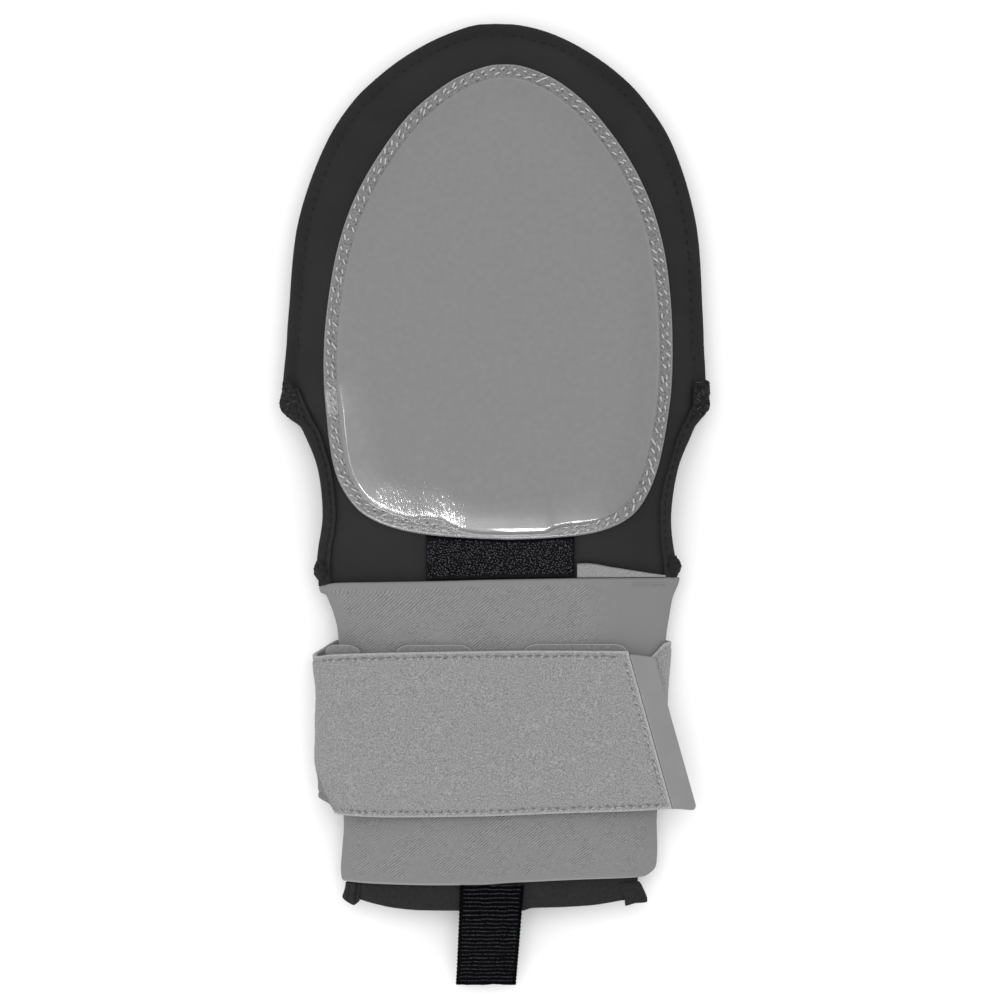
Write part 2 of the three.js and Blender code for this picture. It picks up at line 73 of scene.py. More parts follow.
# The padded body; its spine is the middle line that the mesh's columns run to, from low to high Y
SEAM_HEIGHT = 10.5
SEAM_FLANGE = 4
CREST_HEIGHT = 23
PUFF_WIDTH = 22
PUFF_ROUNDNESS = 2.2
THUMB_TOP = 30.6
THUMB_BOTTOM = -20.4
THUMB_GAPE = 5.5
BINDING_INSET = TRIM_WALL + GAP + 0.2
PANEL_UNEVEN = 0.12
PANEL_EDGE = 1.2
PANEL_TUCK = {"left": -28, "right": -25.6}
TUCK_LENGTH = 1.2
CUFF_START = -2
CUFF_END = -26
CUFF_ROUNDNESS = 3
SEAM_CLEARANCE = 3.6
PANEL_END = -121.7
PANEL_SPINE = (PANEL_END + 30, 105)

# The pad on the back of the hand: its flange, the step up to the crown and the crown
PAD_GAP = 1
PAD_FLANGE = 1.4
PAD_STEP = 1.7
PAD_CROWN = 1.9
PAD_STEP_FROM = 4.3
PAD_SHOULDER = 1.8
SHOULDER_ROUNDNESS = 2.2
SHOULDER_SHARE = 0.55
PAD_CROWN_WIDTH = 12
PAD_EDGES = (0.9, 0.5)
PAD_SPINE = (22, 112)
PAD_FOOT_ENDS = (2, 12)
PLAIN_BORDER = ((-13, -10), (20, 23))
PLAIN_BORDER_RELIEF = 0.35
SEWN_BORDER_RELIEF = 0.6

# Where the pad's clear film is frosted
FROST_CENTRE = (-26, -1, 27)
FROST_REACH = 18

# Sewing; TRIM_ROW and TRIM_RIDGE are shares of the way across a binding
PAD_ROWS = (1.6, 3.3)
PAD_PITCH = 3.6
PAD_CHANNEL = 0.12
PAD_PUCKER = 0.6
TRIM_ROW = 0.76
TRIM_RIDGE = 0.95
TRIM_PITCH = 3.1
SEAM_ROW = 4
SEAM_PITCH = 3.4
SEAM_START = (THUMB_TOP + 6, THUMB_TOP + 16)
SEAM_CHANNEL = 0.22
SEAM_PUCKER = 0.07
SEAM_GATHER = 0.1
BAND_SEAM = (46, 59)
BAND_SEAM_ROWS = (2.1, 3)
STRAP_ROW = 1.85
STRAP_PITCH = 2.8
RIB_PITCH = 0.8
RIB_ANGLE = math.radians(37)
WEBBING_PITCH = 1.43

# Flat sizes that the tables below don't give
TRIM_WIDTH = 7.2
BAND_ROUND = 228
HEM_ROUND = 212
HEM_SEAM_FLAT = (8.2, 14)
STRAP_WIDTH = 55.5
LOOP_LENGTH = 14
FACING_LENGTH = 4.2
WEBBING_WIDTH = 21.3

# The elastic and the hem: the rings that space their points, and where the strap hides the elastic
BAND_RING = (112, 16.6)
HEM_RING = (103, 12.6)
HEM_EDGE_RADIUS = 0.6
UNDER_STRAP = (26, 72)

# The photograph's frame
FIELD = 340
LENS = 150
SENSOR = 36
FOCUS_PLANE = 15
VIEW_CENTRE = (1.87, 1.53)

# The stage, in metres; each light has an azimuth, elevation, width, height and brightness, and the
# strips show only in glossy reflections
FLOOR_REACH = 3
WORLD_BRIGHTNESS = 1.05
OVERHEAD_LIGHT = (90, 82, 1.6, 1.6, 2)
OVERHEAD_DISTANCE = 2.2
STRIP_LIGHTS = (
    (192, 17, 0.24, 0.035, 20),
    (210, 19.5, 0.26, 0.09, 48),
    (229, 23.5, 0.24, 0.28, 46),
    (248, 28, 0.26, 0.4, 36),
    (273, 17, 0.1, 0.27, 42),
    (282, 20, 0.16, 0.1, 32),
    (241, 62, 0.12, 0.34, 6),
)
STRIP_DISTANCE = 0.8


def table(names, *rows):
    """A table with named columns."""
    return dict(zip(names.split(), np.array(rows, float).T))


# The plan outline of the body, from the finger tip down
BODY = table(
    "y left right",
    (163.8, 0.2, 1),
    (163.4, -6.3, 8.1),
    (161.3, -13.4, 17.1),
    (157.3, -22.6, 26.5),
    (151.1, -32.8, 36.6),
    (144.3, -41.3, 45),
    (137.5, -48.1, 51.2),
    (123.9, -57, 60),
    (96.7, -66.8, 68.5),
    (66, -70.1, 70.9),
    (55.9, -70.8, 71.3),
    (31.2, -71.4, 71.4),
    (26.4, -66.1, 68.2),
    (23.3, -64.4, 66.8),
    (12.4, -60.1, 62.4),
    (-3.9, -58.4, 60),
    (-14.8, -60, 61),
    (-21, -60.6, 62.3),
    (-25.7, -60, 62.1),
)

# The pad's plan outline, and how far inside its lower end the crown starts
PAD = table(
    "y left right",
    (148.9, 3, 4),
    (148.5, -1.6, 8.6),
    (144.3, -12.8, 19.6),
    (137.5, -22.6, 29),
    (130.7, -29.8, 35.5),
    (117.1, -39.8, 45.4),
    (103.5, -47.3, 52.3),
    (89.9, -52.2, 56.6),
    (76.3, -55.2, 59),
    (56, -57.6, 60.3),
    (34.2, -57.3, 59.4),
    (9.7, -53.5, 54.5),
    (-1.2, -46.7, 48.9),
    (-5.3, -40.8, 44.3),
    (-8, -33.8, 38.9),
    (-10, -24.4, 31.5),
    (-11.5, -7, 17),
    (-11.9, 4.5, 5.5),
)
PAD_FOOT = table(
    "x depth",
    (-46, 4.3),
    (-35, 4.5),
    (-27.7, 4.3),
    (-23, 5.6),
    (-18.5, 5.4),
    (-14, 3.2),
    (-11.7, 2.3),
    (-4, 1.5),
    (17, 1.5),
    (21.5, 3),
    (26, 3.4),
    (34, 3),
    (44, 4.3),
)

# The inner edges of the thumb bindings, and where each binding ends
TRIM_END = {"left": -27.5, "right": -24.9}
TRIM = table(
    "y left right",
    (39.5, -66.8, 69.8),
    (38.2, -66.1, 69.3),
    (33.2, -63.9, 67),
    (28.7, -61.7, 64.9),
    (23.3, -58.8, 62.2),
    (17.8, -57.2, 60.6),
    (14.3, -56, 59.5),
    (10.5, -55.2, 58.3),
    (6, -54.4, 57.1),
    (0, -53.9, 56.2),
    (-4.2, -53.8, 56.1),
    (-7.7, -54.1, 56.3),
    (-10.8, -54.6, 56.5),
    (-13.7, -55.3, 56.7),
    (-18.5, -55.8, 57.3),
    (-22, -56, 57.6),
    (-27.5, -55.6, 57.4),
)

# The elastic and the hem: their sides, half their height and the height of their middle
WRISTBAND = table(
    "y left right half middle",
    (-26, -60, 63.3, 8.3, SEAM_HEIGHT),
    (-28.6, -59.2, 62.6, 8.3, SEAM_HEIGHT),
    (-29.8, -57.5, 62.1, 8.3, SEAM_HEIGHT),
    (-32.5, -56.2, 61, 8.3, SEAM_HEIGHT),
    (-39.3, -54.1, 59.4, 8.3, SEAM_HEIGHT),
    (-46, -53.3, 58.2, 8.3, SEAM_HEIGHT),
    (-75, -53, 56.8, 8.3, SEAM_HEIGHT),
    (-101, -52, 55.8, 8.3, SEAM_HEIGHT),
    (-107.3, -51.5, 55.3, 8.3, 10.3),
    (-120.9, -52.3, 55.6, 8.3, 9.8),
    (-125.6, -52.4, 54.8, 8.3, 9.7),
    (-128.6, -52, 51.6, 8.2, 9.7),
)
HEM = table(
    "y left right half middle",
    (-122, -48.4, 51.2, 6.1, 9.8),
    (-128.3, -50.1, 49, 6.1, 9.7),
    (-130.6, -50.4, 50, 6.3, 9.7),
    (-134.5, -50.8, 51.2, 6.3, 9.6),
    (-137.6, -48.8, 50, 5.9, 9.5),
)

# The strap's route round the wrist from its hidden start: its middle, its two edges and their slant
STRAP = table(
    "step x z top bottom skew",
    (0, 46.6, 18.5, -53.5, -101.9, 0),
    (1, 52, 17.4, -52.4, -101.9, 0),
    (2, 57.7, 15.2, -47.2, -101.9, 0),
    (3, 59.5, 10.6, -46.6, -101.8, 0),
    (4, 58, 5.4, -46.3, -101.8, 0),
    (5, 53.2, 2, -46.1, -101.8, 0),
    (6, 46, 0.95, -46.1, -101.8, 0),
    (7, 15, 0.95, -46.1, -101.8, 0),
    (8, -15, 0.95, -46.1, -101.8, 0),
    (9, -46, 0.95, -46.2, -101.8, 0),
    (10, -53, 1.8, -46.3, -101.2, 0),
    (11, -58.6, 5, -49.2, -100.4, 0),
    (12, -61, 10, -51, -99.6, 0),
    (13, -60.4, 15, -51.5, -99.4, 0),
    (14, -56.8, 19.3, -51, -101, 0),
    (14.25, -55.5, 19.94, -50.8, -101.7, 0),
    (14.45, -54.3, 20.4, -50.7, -104.4, 0),
    (15, -50, 21.2, -50.5, -105.3, 0),
    (16, -36, 21.6, -50.1, -105.9, 2),
    (17, -12, 21.6, -49.7, -105.6, 6),
    (18, 14, 21.6, -49.4, -104.5, 10),
    (19, 36, 21.3, -49.5, -103.7, 13.4),
    (20, 45.2, 20.7, -49.6, -103.1, 15),
    (21, 53.8, 19.6, -50.6, -103.8, 14.8),
)

# Where parts of the strap and its tab begin and end, in steps of that route, and their sizes
FRONT_RUN_START = 13
ROW_START = {"top": 13.6, "bottom": 14.6}
STRAP_END = 20
STRAP_BORDER = 4.6
STRAP_EDGE = 0.35
STRAP_END_EDGE = 0.15
TAB_CLEARANCE = 0.006
TAB_END = 21
TAB_WIDTH = 52
TAB_INSET = 1.1
TAB_CORNERS = {"top": 1.2, "bottom": 2.2}
TAB_EDGE = 0.15

# The patches under the front run: left, right, top and bottom
HOOK_PATCHES = {
    "left": (-58.2, -45.8, -47.7, -98),
    "middle": (-33.1, -7.7, -47.7, -100),
    "right": (10, 44.9, -47.4, -100),
}
HOOK_CORNER = (5, 2.6)

# The strap's folds: the steps they lie at, the crease across its lower left corner, how far they sink in
LEFT_FOLD = 12
RIGHT_FOLD = 3
FOLD_WIDTH = 0.9
CORNER_FOLD = ((-58.7, -93.3), (-55.2, -101.6))
CORNER_TOP = -88
CORNER_DROP = 0.8
STRAP_SINKS = table(
    "y left right",
    (-46, -0.3, 0),
    (-50, -0.3, 0.15),
    (-53, -0.2, 0.35),
    (-57, 0.05, 0.6),
    (-61, 1, 0.9),
    (-65, 2, 1.1),
    (-69, 1.8, 1.15),
    (-73, 1.05, 1.1),
    (-77.4, 0.75, 0.9),
    (-81.4, 0.45, 0.6),
    (-85.5, 0.35, 0.4),
    (-89.6, 0.65, 0.2),
    (-93.7, 1.55, 0),
    (-97.8, 1.85, 0),
    (-102, 1.85, 0),
)

# The pull tab and the two patches above the elastic
PULL_TAB = table(
    "y z left right",
    (-129.2, 17.3, -11.7, 10),
    (-138, 17.1, -12, 9.3),
    (-146, 15, -12.3, 8.7),
    (-155, 11.6, -12.7, 8),
    (-164, 8.2, -13.2, 7.3),
)
LOOP_LEFT = -23.2
LOOP_RIGHT = 27
PILE_TOP = -12.4
PILE_ROWS = 18
PILE_ROW_STEP = 0.84
PILE_PITCH = 0.95
PILE_SHIFT = 0.47
PATCH_BOTTOM = -25.3
FACING = table(
    "x top bottom",
    (28, -20, PATCH_BOTTOM),
    (31.1, -19.9, PATCH_BOTTOM),
    (40.3, -21.3, PATCH_BOTTOM),
    (53.6, -23.4, PATCH_BOTTOM),
    (58, -24, PATCH_BOTTOM),
)

# The folded seams over the hem's ends: how low each reaches at a turn round the hem
HEM_FLAPS = {
    "left": table(
        "turn low",
        (0.54, -134.8),
        (0.48, -135.5),
        (0.34, -136.4),
        (0.18, -135.1),
        (0, -133.9),
        (-0.6, -133),
    ),
    "right": table(
        "turn low",
        (0.64, -135),
        (0.6, -136.6),
        (0.42, -135.7),
        (0, -135.6),
        (-0.6, -134),
    ),
}

# Thread lumps at the ends of the thumb openings: how far each stands out past the edge and reaches
# in over the back
BAR_TACKS = {
    "upper_left": table(
        "y out reach",
        (42, -0.2, 2.5),
        (39.4, 0, 4),
        (36.4, 0.5, 5),
        (34.2, 1, 5),
        (32.2, 0.7, 4.8),
        (30.9, 0, 4),
        (29.6, -0.4, 3),
    ),
    "upper_right": table(
        "y out reach",
        (42.4, 0.1, 2.5),
        (41.4, 1.1, 4),
        (37, 1.1, 4.6),
        (33.2, 1.3, 4.6),
        (32, 0.9, 4.2),
        (31, 0.3, 4),
        (29.8, -0.2, 3),
    ),
    "lower_left": table(
        "y out reach",
        (-19.2, -0.2, 1.5),
        (-21, 0.5, 2.6),
        (-23, 1.1, 3),
        (-24.6, 0.5, 2.6),
        (-25.6, -0.3, 1.6),
    ),
    "lower_right": table(
        "y out reach",
        (-17.5, 0, 1.5),
        (-19.4, 0.9, 2.6),
        (-21.4, 1.2, 3),
        (-23, 0.6, 2.6),
        (-24.4, 0, 1.6),
    ),
}
BAR_THREADS = {"upper": 130, "lower": 30}

# How far the cloth's cut edges wander from the tables above
BAND_EDGES = table(
    "x top bottom",
    (-61, -2.2, 1.1),
    (-57, -1.1, 0.8),
    (-53, -0.6, 0.5),
    (-40, -0.35, -0.3),
    (-20, 0, -0.7),
    (-5, 0.4, -0.6),
    (5, 0.6, 0.1),
    (14, 0.75, 0.55),
    (30, 1, 1.25),
    (45, 1.15, 1.6),
    (63, 1.3, 2.4),
)
HEM_EDGE = table(
    "x back palm",
    (-45.7, 3, 3.4),
    (-42.3, 2, 2.8),
    (-38.9, 1.2, 2.3),
    (-35.5, 0.5, 1.9),
    (-32.1, 0.05, 1.7),
    (-28.7, -0.3, 1.6),
    (-25.3, -0.5, 1.5),
    (-14.5, -0.6, 1.4),
    (9.4, -0.6, 1.4),
    (12.8, 0.3, 1.5),
    (23, 0.6, 1.7),
    (33, 1.2, 2),
    (40, 2.2, 2.6),
    (43.4, 2.8, 3.2),
)


# Curves and plan outlines


def mix(a, b, share):
    return a + (b - a) * share


def clip01(value):
    return np.clip(value, 0, 1)


def smooth(value, low, high):
    """A soft step from 0 at low to 1 at high."""
    t = clip01((np.asarray(value, float) - low) / (high - low))
    return t * t * (3 - 2 * t)


def between(value, rise, fall):
    """A soft step up over one pair of values, and down again over another."""
    return smooth(value, *rise) * (1 - smooth(value, *fall))


def bell(value, centre, width):
    return np.exp(-(((value - centre) / width) ** 2))


def wave(place, pitch):
    return np.cos(2 * math.pi * place / pitch)


def columns(*parts):
    """Values side by side along a last axis, each spread to the same shape."""
    return np.stack(np.broadcast_arrays(*parts), -1)


def unit(vectors):
    return vectors / np.maximum(np.linalg.norm(vectors, axis=-1, keepdims=True), TINY)


def follow(rows, key, column):
    """A smooth line through one column of a table, with no overshoot between its rows."""
    order = np.argsort(rows[key])
    k, v = rows[key][order], rows[column][order]
    slope = np.diff(v) / np.diff(k)
    before, after = slope[:-1], slope[1:]
    same_way = before * after > 0
    inner = np.where(same_way, 2 * before * after / np.where(same_way, before + after, 1), 0)
    tangent = np.concatenate([slope[:1], inner, slope[-1:]])

    def value(at):
        where = np.clip(at, k[0], k[-1])
        i = np.clip(np.searchsorted(k, where) - 1, 0, len(k) - 2)
        span, rise = k[i + 1] - k[i], v[i + 1] - v[i]
        t = (where - k[i]) / span
        start, end = span * tangent[i], span * tangent[i + 1]
        curve = t * start + t**2 * (3 * rise - 2 * start - end) + t**3 * (start + end - 2 * rise)
        return v[i] + curve

    return value


def through(points, at):
    """Places on a smooth curve through points, at counts along them; a centripetal Catmull-Rom curve."""
    points = np.asarray(points, float)
    padded = np.vstack([2 * points[0] - points[1], points, 2 * points[-1] - points[-2]])
    first = np.clip(at.astype(int), 0, len(points) - 2)
    t = (at - first)[:, None]
    a, b, c, d = (padded[first + k] for k in range(4))
    pairs = ((a, b), (b, c), (c, d))
    before, here, after = (np.sqrt(np.linalg.norm(q - p, axis=1))[:, None] for p, q in pairs)
    start = ((b - a) / before - (c - a) / (before + here) + (c - b) / here) * here
    end = ((c - b) / here - (d - b) / (here + after) + (d - c) / after) * here
    rise = c - b
    return b + t * start + t**2 * (3 * rise - 2 * start - end) + t**3 * (start + end - 2 * rise)


def edge_line(rows, column):
    """An edge of a plan table: a smooth curve through its rows, read off as x at a given y."""
    points = columns(rows[column], rows["y"])
    samples = CURVE_STEPS * len(points)
    x, y = through(points, np.linspace(0, len(points) - 1, samples)).T
    y = np.minimum.accumulate(y)
    return lambda at: np.interp(at, y[::-1], x[::-1])


def evenly(start, end, step):
    """Places from start to end, about a step apart."""
    return np.linspace(start, end, max(2, round(abs(end - start) / step) + 1))


def edge_places(radius, count=5):
    """Places through a rounded edge, closest together at its rim."""
    return radius * (1 - np.cos(np.linspace(0, math.pi / 2, count)))


def edged(length, radius, step, edge_steps=5):
    """Places along a length, close together in the rounded edge at either end."""
    edge = edge_places(radius, edge_steps + 1)[:-1]
    return np.concatenate([edge, evenly(radius, length - radius, step), (length - edge)[::-1]])


def arc_places(points):
    """How far along their line the points are."""
    steps = np.linalg.norm(np.diff(points, axis=0), axis=1)
    return np.concatenate([[0], np.cumsum(steps)])


def read(line, places, at):
    """A line's values at distances along it, where places are those of its own points."""
    return np.stack([np.interp(at, places, column) for column in line.T], -1)


def resampled(points, step):
    """The same line with points an even step apart."""
    places = arc_places(points)
    return read(points, places, evenly(0, places[-1], step))


def ripples(x, y, size, seed, waves=7):
    """Smooth random unevenness, mostly between -1 and 1, with features of about the given size."""
    rng = np.random.default_rng(seed)
    total = 0
    for _ in range(waves):
        turn, phase = rng.uniform(0, 2 * math.pi, 2)
        pace = 2 * math.pi / (size * rng.uniform(0.7, 1.5))
        total = total + np.sin((x * math.cos(turn) + y * math.sin(turn)) * pace + phase)
    return total / math.sqrt(waves)


class Outline:
    """A plan curve that says how far a point is from it, and where along it the nearest place is."""

    STEP = 0.5

    def __init__(self, points):
        self.points = resampled(points, self.STEP)
        self.places = arc_places(self.points)
        self.tree = KDTree(len(self.points))
        for index, (x, y) in enumerate(self.points):
            self.tree.insert((x, y, 0), index)
        self.tree.balance()

    def near(self, x, y):
        asked = columns(np.asarray(x, float), np.asarray(y, float))
        shape = asked.shape[:-1]
        asked = asked.reshape(-1, 2)
        nearest = np.array([self.tree.find((a, b, 0))[1] for a, b in asked])
        best = np.full(len(asked), np.inf)
        place = np.zeros(len(asked))
        for side in (-1, 0):
            start = np.clip(nearest + side, 0, len(self.points) - 2)
            origin, edge = self.points[start], self.points[start + 1] - self.points[start]
            t = clip01(((asked - origin) * edge).sum(1) / (edge**2).sum(1))
            gap = np.linalg.norm(asked - origin - edge * t[:, None], axis=1)
            at = self.places[start] + t * np.linalg.norm(edge, axis=1)
            place = np.where(gap < best, at, place)
            best = np.minimum(gap, best)
        return best.reshape(shape), place.reshape(shape)

    def inset(self, depth):
        """The curve moved to its right-hand side by a depth."""
        along = unit(np.gradient(self.points, axis=0))
        return self.points + depth * columns(along[:, 1], -along[:, 0])


def sides_of(rows, round_length=20, round_steps=80, step=0.25):
    """Heights down an outline table, closer together at its round upper end, and both edges there."""
    top, bottom = rows["y"][0], rows["y"][-1]
    round_end = top - edge_places(round_length, round_steps)
    ys = np.concatenate([round_end, evenly(top - round_length, bottom, step)[1:]])
    return ys, edge_line(rows, "left")(ys), edge_line(rows, "right")(ys)


def outline_of(rows, closed):
    """Up the left edge and down the right one."""
    ys, left, right = sides_of(rows)
    points = np.concatenate([columns(left, ys)[::-1], columns(right, ys)])
    return Outline(np.concatenate([points, points[:1]]) if closed else points)


body_left, body_right = edge_line(BODY, "left"), edge_line(BODY, "right")
band_left, band_right = edge_line(WRISTBAND, "left"), edge_line(WRISTBAND, "right")
band_half = follow(WRISTBAND, "y", "half")
seam_height = follow(WRISTBAND, "y", "middle")
SEAM = outline_of(BODY, closed=False)
PAD_EDGE = outline_of(PAD, closed=True)
pad_foot = follow(PAD_FOOT, "x", "depth")
BAND_TOP, BAND_LOW = WRISTBAND["y"][0], WRISTBAND["y"][-1]
band_top_drift, band_low_drift = (follow(BAND_EDGES, "x", column) for column in ("top", "bottom"))


def body_edge(side):
    """The body's edge on one side, and which way along X leads inwards."""
    return (body_left, 1) if side == "left" else (body_right, -1)


def pad_sewn(x, y):
    """Where the pad's border shows its stitches: all round but for the middle of its lower end."""
    return 1 - between(x, *PLAIN_BORDER) * (y < 0)


# Heights of the padded body


def puff(distance):
    """How far the padding has risen at a distance from the seam."""
    return 1 - (1 - clip01((distance - SEAM_FLANGE) / PUFF_WIDTH)) ** PUFF_ROUNDNESS


def gape(y):
    """How far a thumb opening gapes."""
    t = (y - THUMB_BOTTOM) / (THUMB_TOP - THUMB_BOTTOM)
    return np.maximum(0, 4 * t * (1 - t))


def cuff_share(y):
    return smooth(-y, -CUFF_START, -CUFF_END)


def arch(share):
    """How high a flattened ring stands at a share of its half width, as a share of its height."""
    return np.maximum(0, 1 - share**CUFF_ROUNDNESS) ** (1 / CUFF_ROUNDNESS)


def cuff_rise(x, y):
    """Half the height of the two panels inside the wristband."""
    inset = BAND_WALL + SOFT_GAP
    reach = (band_right(y) - band_left(y)) / 2 - inset
    u = np.abs(x - (band_left(y) + band_right(y)) / 2) / reach
    return np.maximum((band_half(y) - inset) * arch(u), PANEL_WALL + GAP / 2)


def back_top(x, y):
    distance, _ = SEAM.near(x, y)
    edge = SEAM_HEIGHT + GAP / 2 + PANEL_WALL + THUMB_GAPE * gape(y)
    body = mix(edge, CREST_HEIGHT, puff(distance))
    return mix(body, seam_height(y) + cuff_rise(x, y), cuff_share(y))


def back_inside(x, y):
    return np.maximum(back_top(x, y) - PANEL_WALL, seam_height(y) + GAP / 2)


def palm_bottom(x, y):
    distance, _ = SEAM.near(x, y)
    edge = SEAM_HEIGHT - GAP / 2 - PANEL_WALL - THUMB_GAPE * gape(y)
    body = mix(edge, 0, puff(distance))
    return mix(body, seam_height(y) - cuff_rise(x, y), cuff_share(y))


def palm_inside(x, y):
    return np.minimum(palm_bottom(x, y) + PANEL_WALL, seam_height(y) - GAP / 2)


def seam_dip(x, y):
    """The soft channel along the side seam, with a small pucker at each stitch."""
    distance, place = SEAM.near(x, y)
    channel = SEAM_CHANNEL * bell(distance, SEAM_ROW, width=1.2)
    pucker = SEAM_PUCKER * wave(place, SEAM_PITCH) * bell(distance, SEAM_ROW - 0.6, width=1.4)
    gather = SEAM_GATHER * ripples(place, distance, size=9, seed=3) * bell(distance, SEAM_ROW - 1, width=3)
    return smooth(y, *SEAM_START) * (channel + pucker + gather)


def sewn_back(x, y):
    """The back panel's face with its sewing and a little unevenness."""
    soft = PANEL_UNEVEN * ripples(x, y, size=34, seed=5)
    return back_top(x, y) - seam_dip(x, y) + soft * smooth(SEAM.near(x, y)[0], 3, 14)


def sewn_palm(x, y):
    return palm_bottom(x, y) + seam_dip(x, y)


def foot_depth(x, y):
    """How far inside its edge the pad's crown starts."""
    return mix(PAD_STEP_FROM, pad_foot(x), 1 - smooth(y, *PAD_FOOT_ENDS))


def pad_top(x, y):
    """The pad's face: a flange with two sewn channels, a sharp foot, a round shoulder and a low crown."""
    distance, place = PAD_EDGE.near(x, y)
    inside = distance - foot_depth(x, y)
    shoulder = 1 - (1 - clip01(inside / PAD_SHOULDER)) ** SHOULDER_ROUNDNESS
    slope = smooth(inside, 0, PAD_CROWN_WIDTH)
    step = PAD_STEP * mix(slope, shoulder, SHOULDER_SHARE)
    crown = PAD_CROWN * (1 - (1 - clip01(inside / PAD_CROWN_WIDTH)) ** 2)
    sewn = pad_sewn(x, y) * sum(bell(distance, row, width=0.5) for row in PAD_ROWS)
    pucker = 1 + PAD_PUCKER * wave(place, PAD_PITCH)
    return back_top(x, y) + PAD_GAP + PAD_FLANGE + step + crown - PAD_CHANNEL * sewn * pucker


# Mesh making; a cover is a piece's material and the name of a slot, which is not used


def object_of(name, points, faces, cover, relief=None, weave=None):
    """A smooth piece from points in millimetres, with its faces turned outwards.

    Its material can read relief, which runs from 0 in a hollow to 1 on a crest, and weave, which holds
    each point's two places on the flat cloth and how clearly the weave shows there. What rests on the
    floor is flat there.
    """
    material, slot = cover
    mesh = bpy.data.meshes.new(name)
    points = np.array(points, float)
    points[:, 2] = np.maximum(points[:, 2], 0)
    mesh.from_pydata((points * MM).tolist(), [], [list(face) for face in faces])
    if relief is not None:
        mesh.attributes.new("relief", "FLOAT", "POINT").data.foreach_set("value", relief.astype(np.float32))
    if weave is not None:
        kept = mesh.attributes.new("weave", "FLOAT_VECTOR", "POINT").data
        kept.foreach_set("vector", weave.astype(np.float32).ravel())
    work = bmesh.new()
    work.from_mesh(mesh)
    bmesh.ops.remove_doubles(work, verts=work.verts, dist=SAME_POINT)
    bmesh.ops.dissolve_degenerate(work, edges=work.edges, dist=SAME_POINT / 10)
    if work.calc_volume(signed=True) < 0:
        bmesh.ops.reverse_faces(work, faces=work.faces)
    work.to_mesh(mesh)
    work.free()
    mesh.shade_smooth()
    piece = bpy.data.objects.new(name, mesh)
    bpy.context.scene.collection.objects.link(piece)
    mesh.materials.append(material)
    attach(piece, "root")
    return piece


def quads(index, ring=False):
    """Quads over a grid of point numbers."""
    grid = np.vstack([index, index[:1]]) if ring else index
    corners = (grid[:-1, :-1], grid[1:, :-1], grid[1:, 1:], grid[:-1, 1:])
    return np.stack(corners, -1).reshape(-1, 4)


def closed(name, outer, inner, cover, ring=False, relief=None, weave=None):
    """A closed piece from two grids of points that meet along their borders.

    A ring's rows run round, so its grids meet in their first and last columns only, and may have
    different numbers of columns. relief and weave belong to the outer grid.
    """
    first = np.arange(outer[..., 0].size).reshape(outer.shape[:2])
    second = first.size + np.arange(inner[..., 0].size).reshape(inner.shape[:2])
    faces = np.concatenate([quads(first, ring), quads(second, ring)[:, ::-1]])
    points = np.concatenate([outer.reshape(-1, 3), inner.reshape(-1, 3)])
    if relief is not None:
        relief = np.concatenate([relief.ravel(), np.full(second.size, PLAIN)])
    if weave is not None:
        weave = np.concatenate([weave.reshape(-1, 3), np.zeros((second.size, 3))])
    return object_of(name, points, faces, cover, relief, weave)


def rounding(distance, radius):
    """The share of its full thickness that a piece has near a rounded edge."""
    return np.sqrt(1 - (1 - clip01(distance / radius)) ** 2)


def normals(grid):
    return unit(np.cross(np.gradient(grid, axis=0), np.gradient(grid, axis=1)))


def slab(name, middle, half, cover, radius=None, front=0, back=0, relief=None):
    """A soft-edged sheet on both sides of a grid of middle points; front and back raise its faces."""
    radius = half if radius is None else radius
    steps = [np.linalg.norm(np.diff(middle, axis=axis), axis=2) for axis in (0, 1)]
    down, across = (np.insert(np.cumsum(steps[axis], axis), 0, 0, axis) for axis in (0, 1))
    edge = np.minimum.reduce([down, down[-1] - down, across, across[:, -1:] - across])
    share = rounding(edge, radius)
    turned = normals(middle)
    outer = middle + turned * (share * (half + front))[..., None]
    inner = middle - turned * (share * (half + back))[..., None]
    relief = np.full(edge.shape, PLAIN) if relief is None else relief
    return closed(name, outer, inner, cover, relief=relief)


def dome(name, rim, spine, depths, inner_columns, faces, radii, cover, relief=None):
    """A closed piece over a plan: columns at given depths from the rim, then on to the spine.

    faces are the two height functions and radii their edge rounding; the far face has few columns.
    relief is a function of the plan place and its distance from the rim.
    """
    reach = np.linalg.norm(spine - rim, axis=1)[:, None]
    edge = Outline(np.vstack([rim, rim[:1]]))
    middle = (faces[0](rim[:, 0], rim[:, 1]) + faces[1](rim[:, 0], rim[:, 1])) / 2
    made, distances = [], []
    kinds = ((depths, inner_columns), (depths[::4], 5))
    for height, radius, (depth_list, count) in zip(faces, radii, kinds):
        near = np.asarray(depth_list)[None, :] / reach
        far = near[:, -1:] + (1 - near[:, -1:]) * np.linspace(0, 1, count + 1)[None, 1:]
        share = np.hstack([near, far])
        plan = rim[:, None] + (spine - rim)[:, None] * share[..., None]
        x, y = plan[..., 0], plan[..., 1]
        distances.append(edge.near(x, y)[0])
        z = mix(middle[:, None], height(x, y), rounding(distances[-1], radius))
        made.append(np.dstack([x, y, z]))
    if relief is not None:
        relief = relief(made[0][..., 0], made[0][..., 1], distances[0])
    return closed(name, made[0], made[1], cover, ring=True, relief=relief)


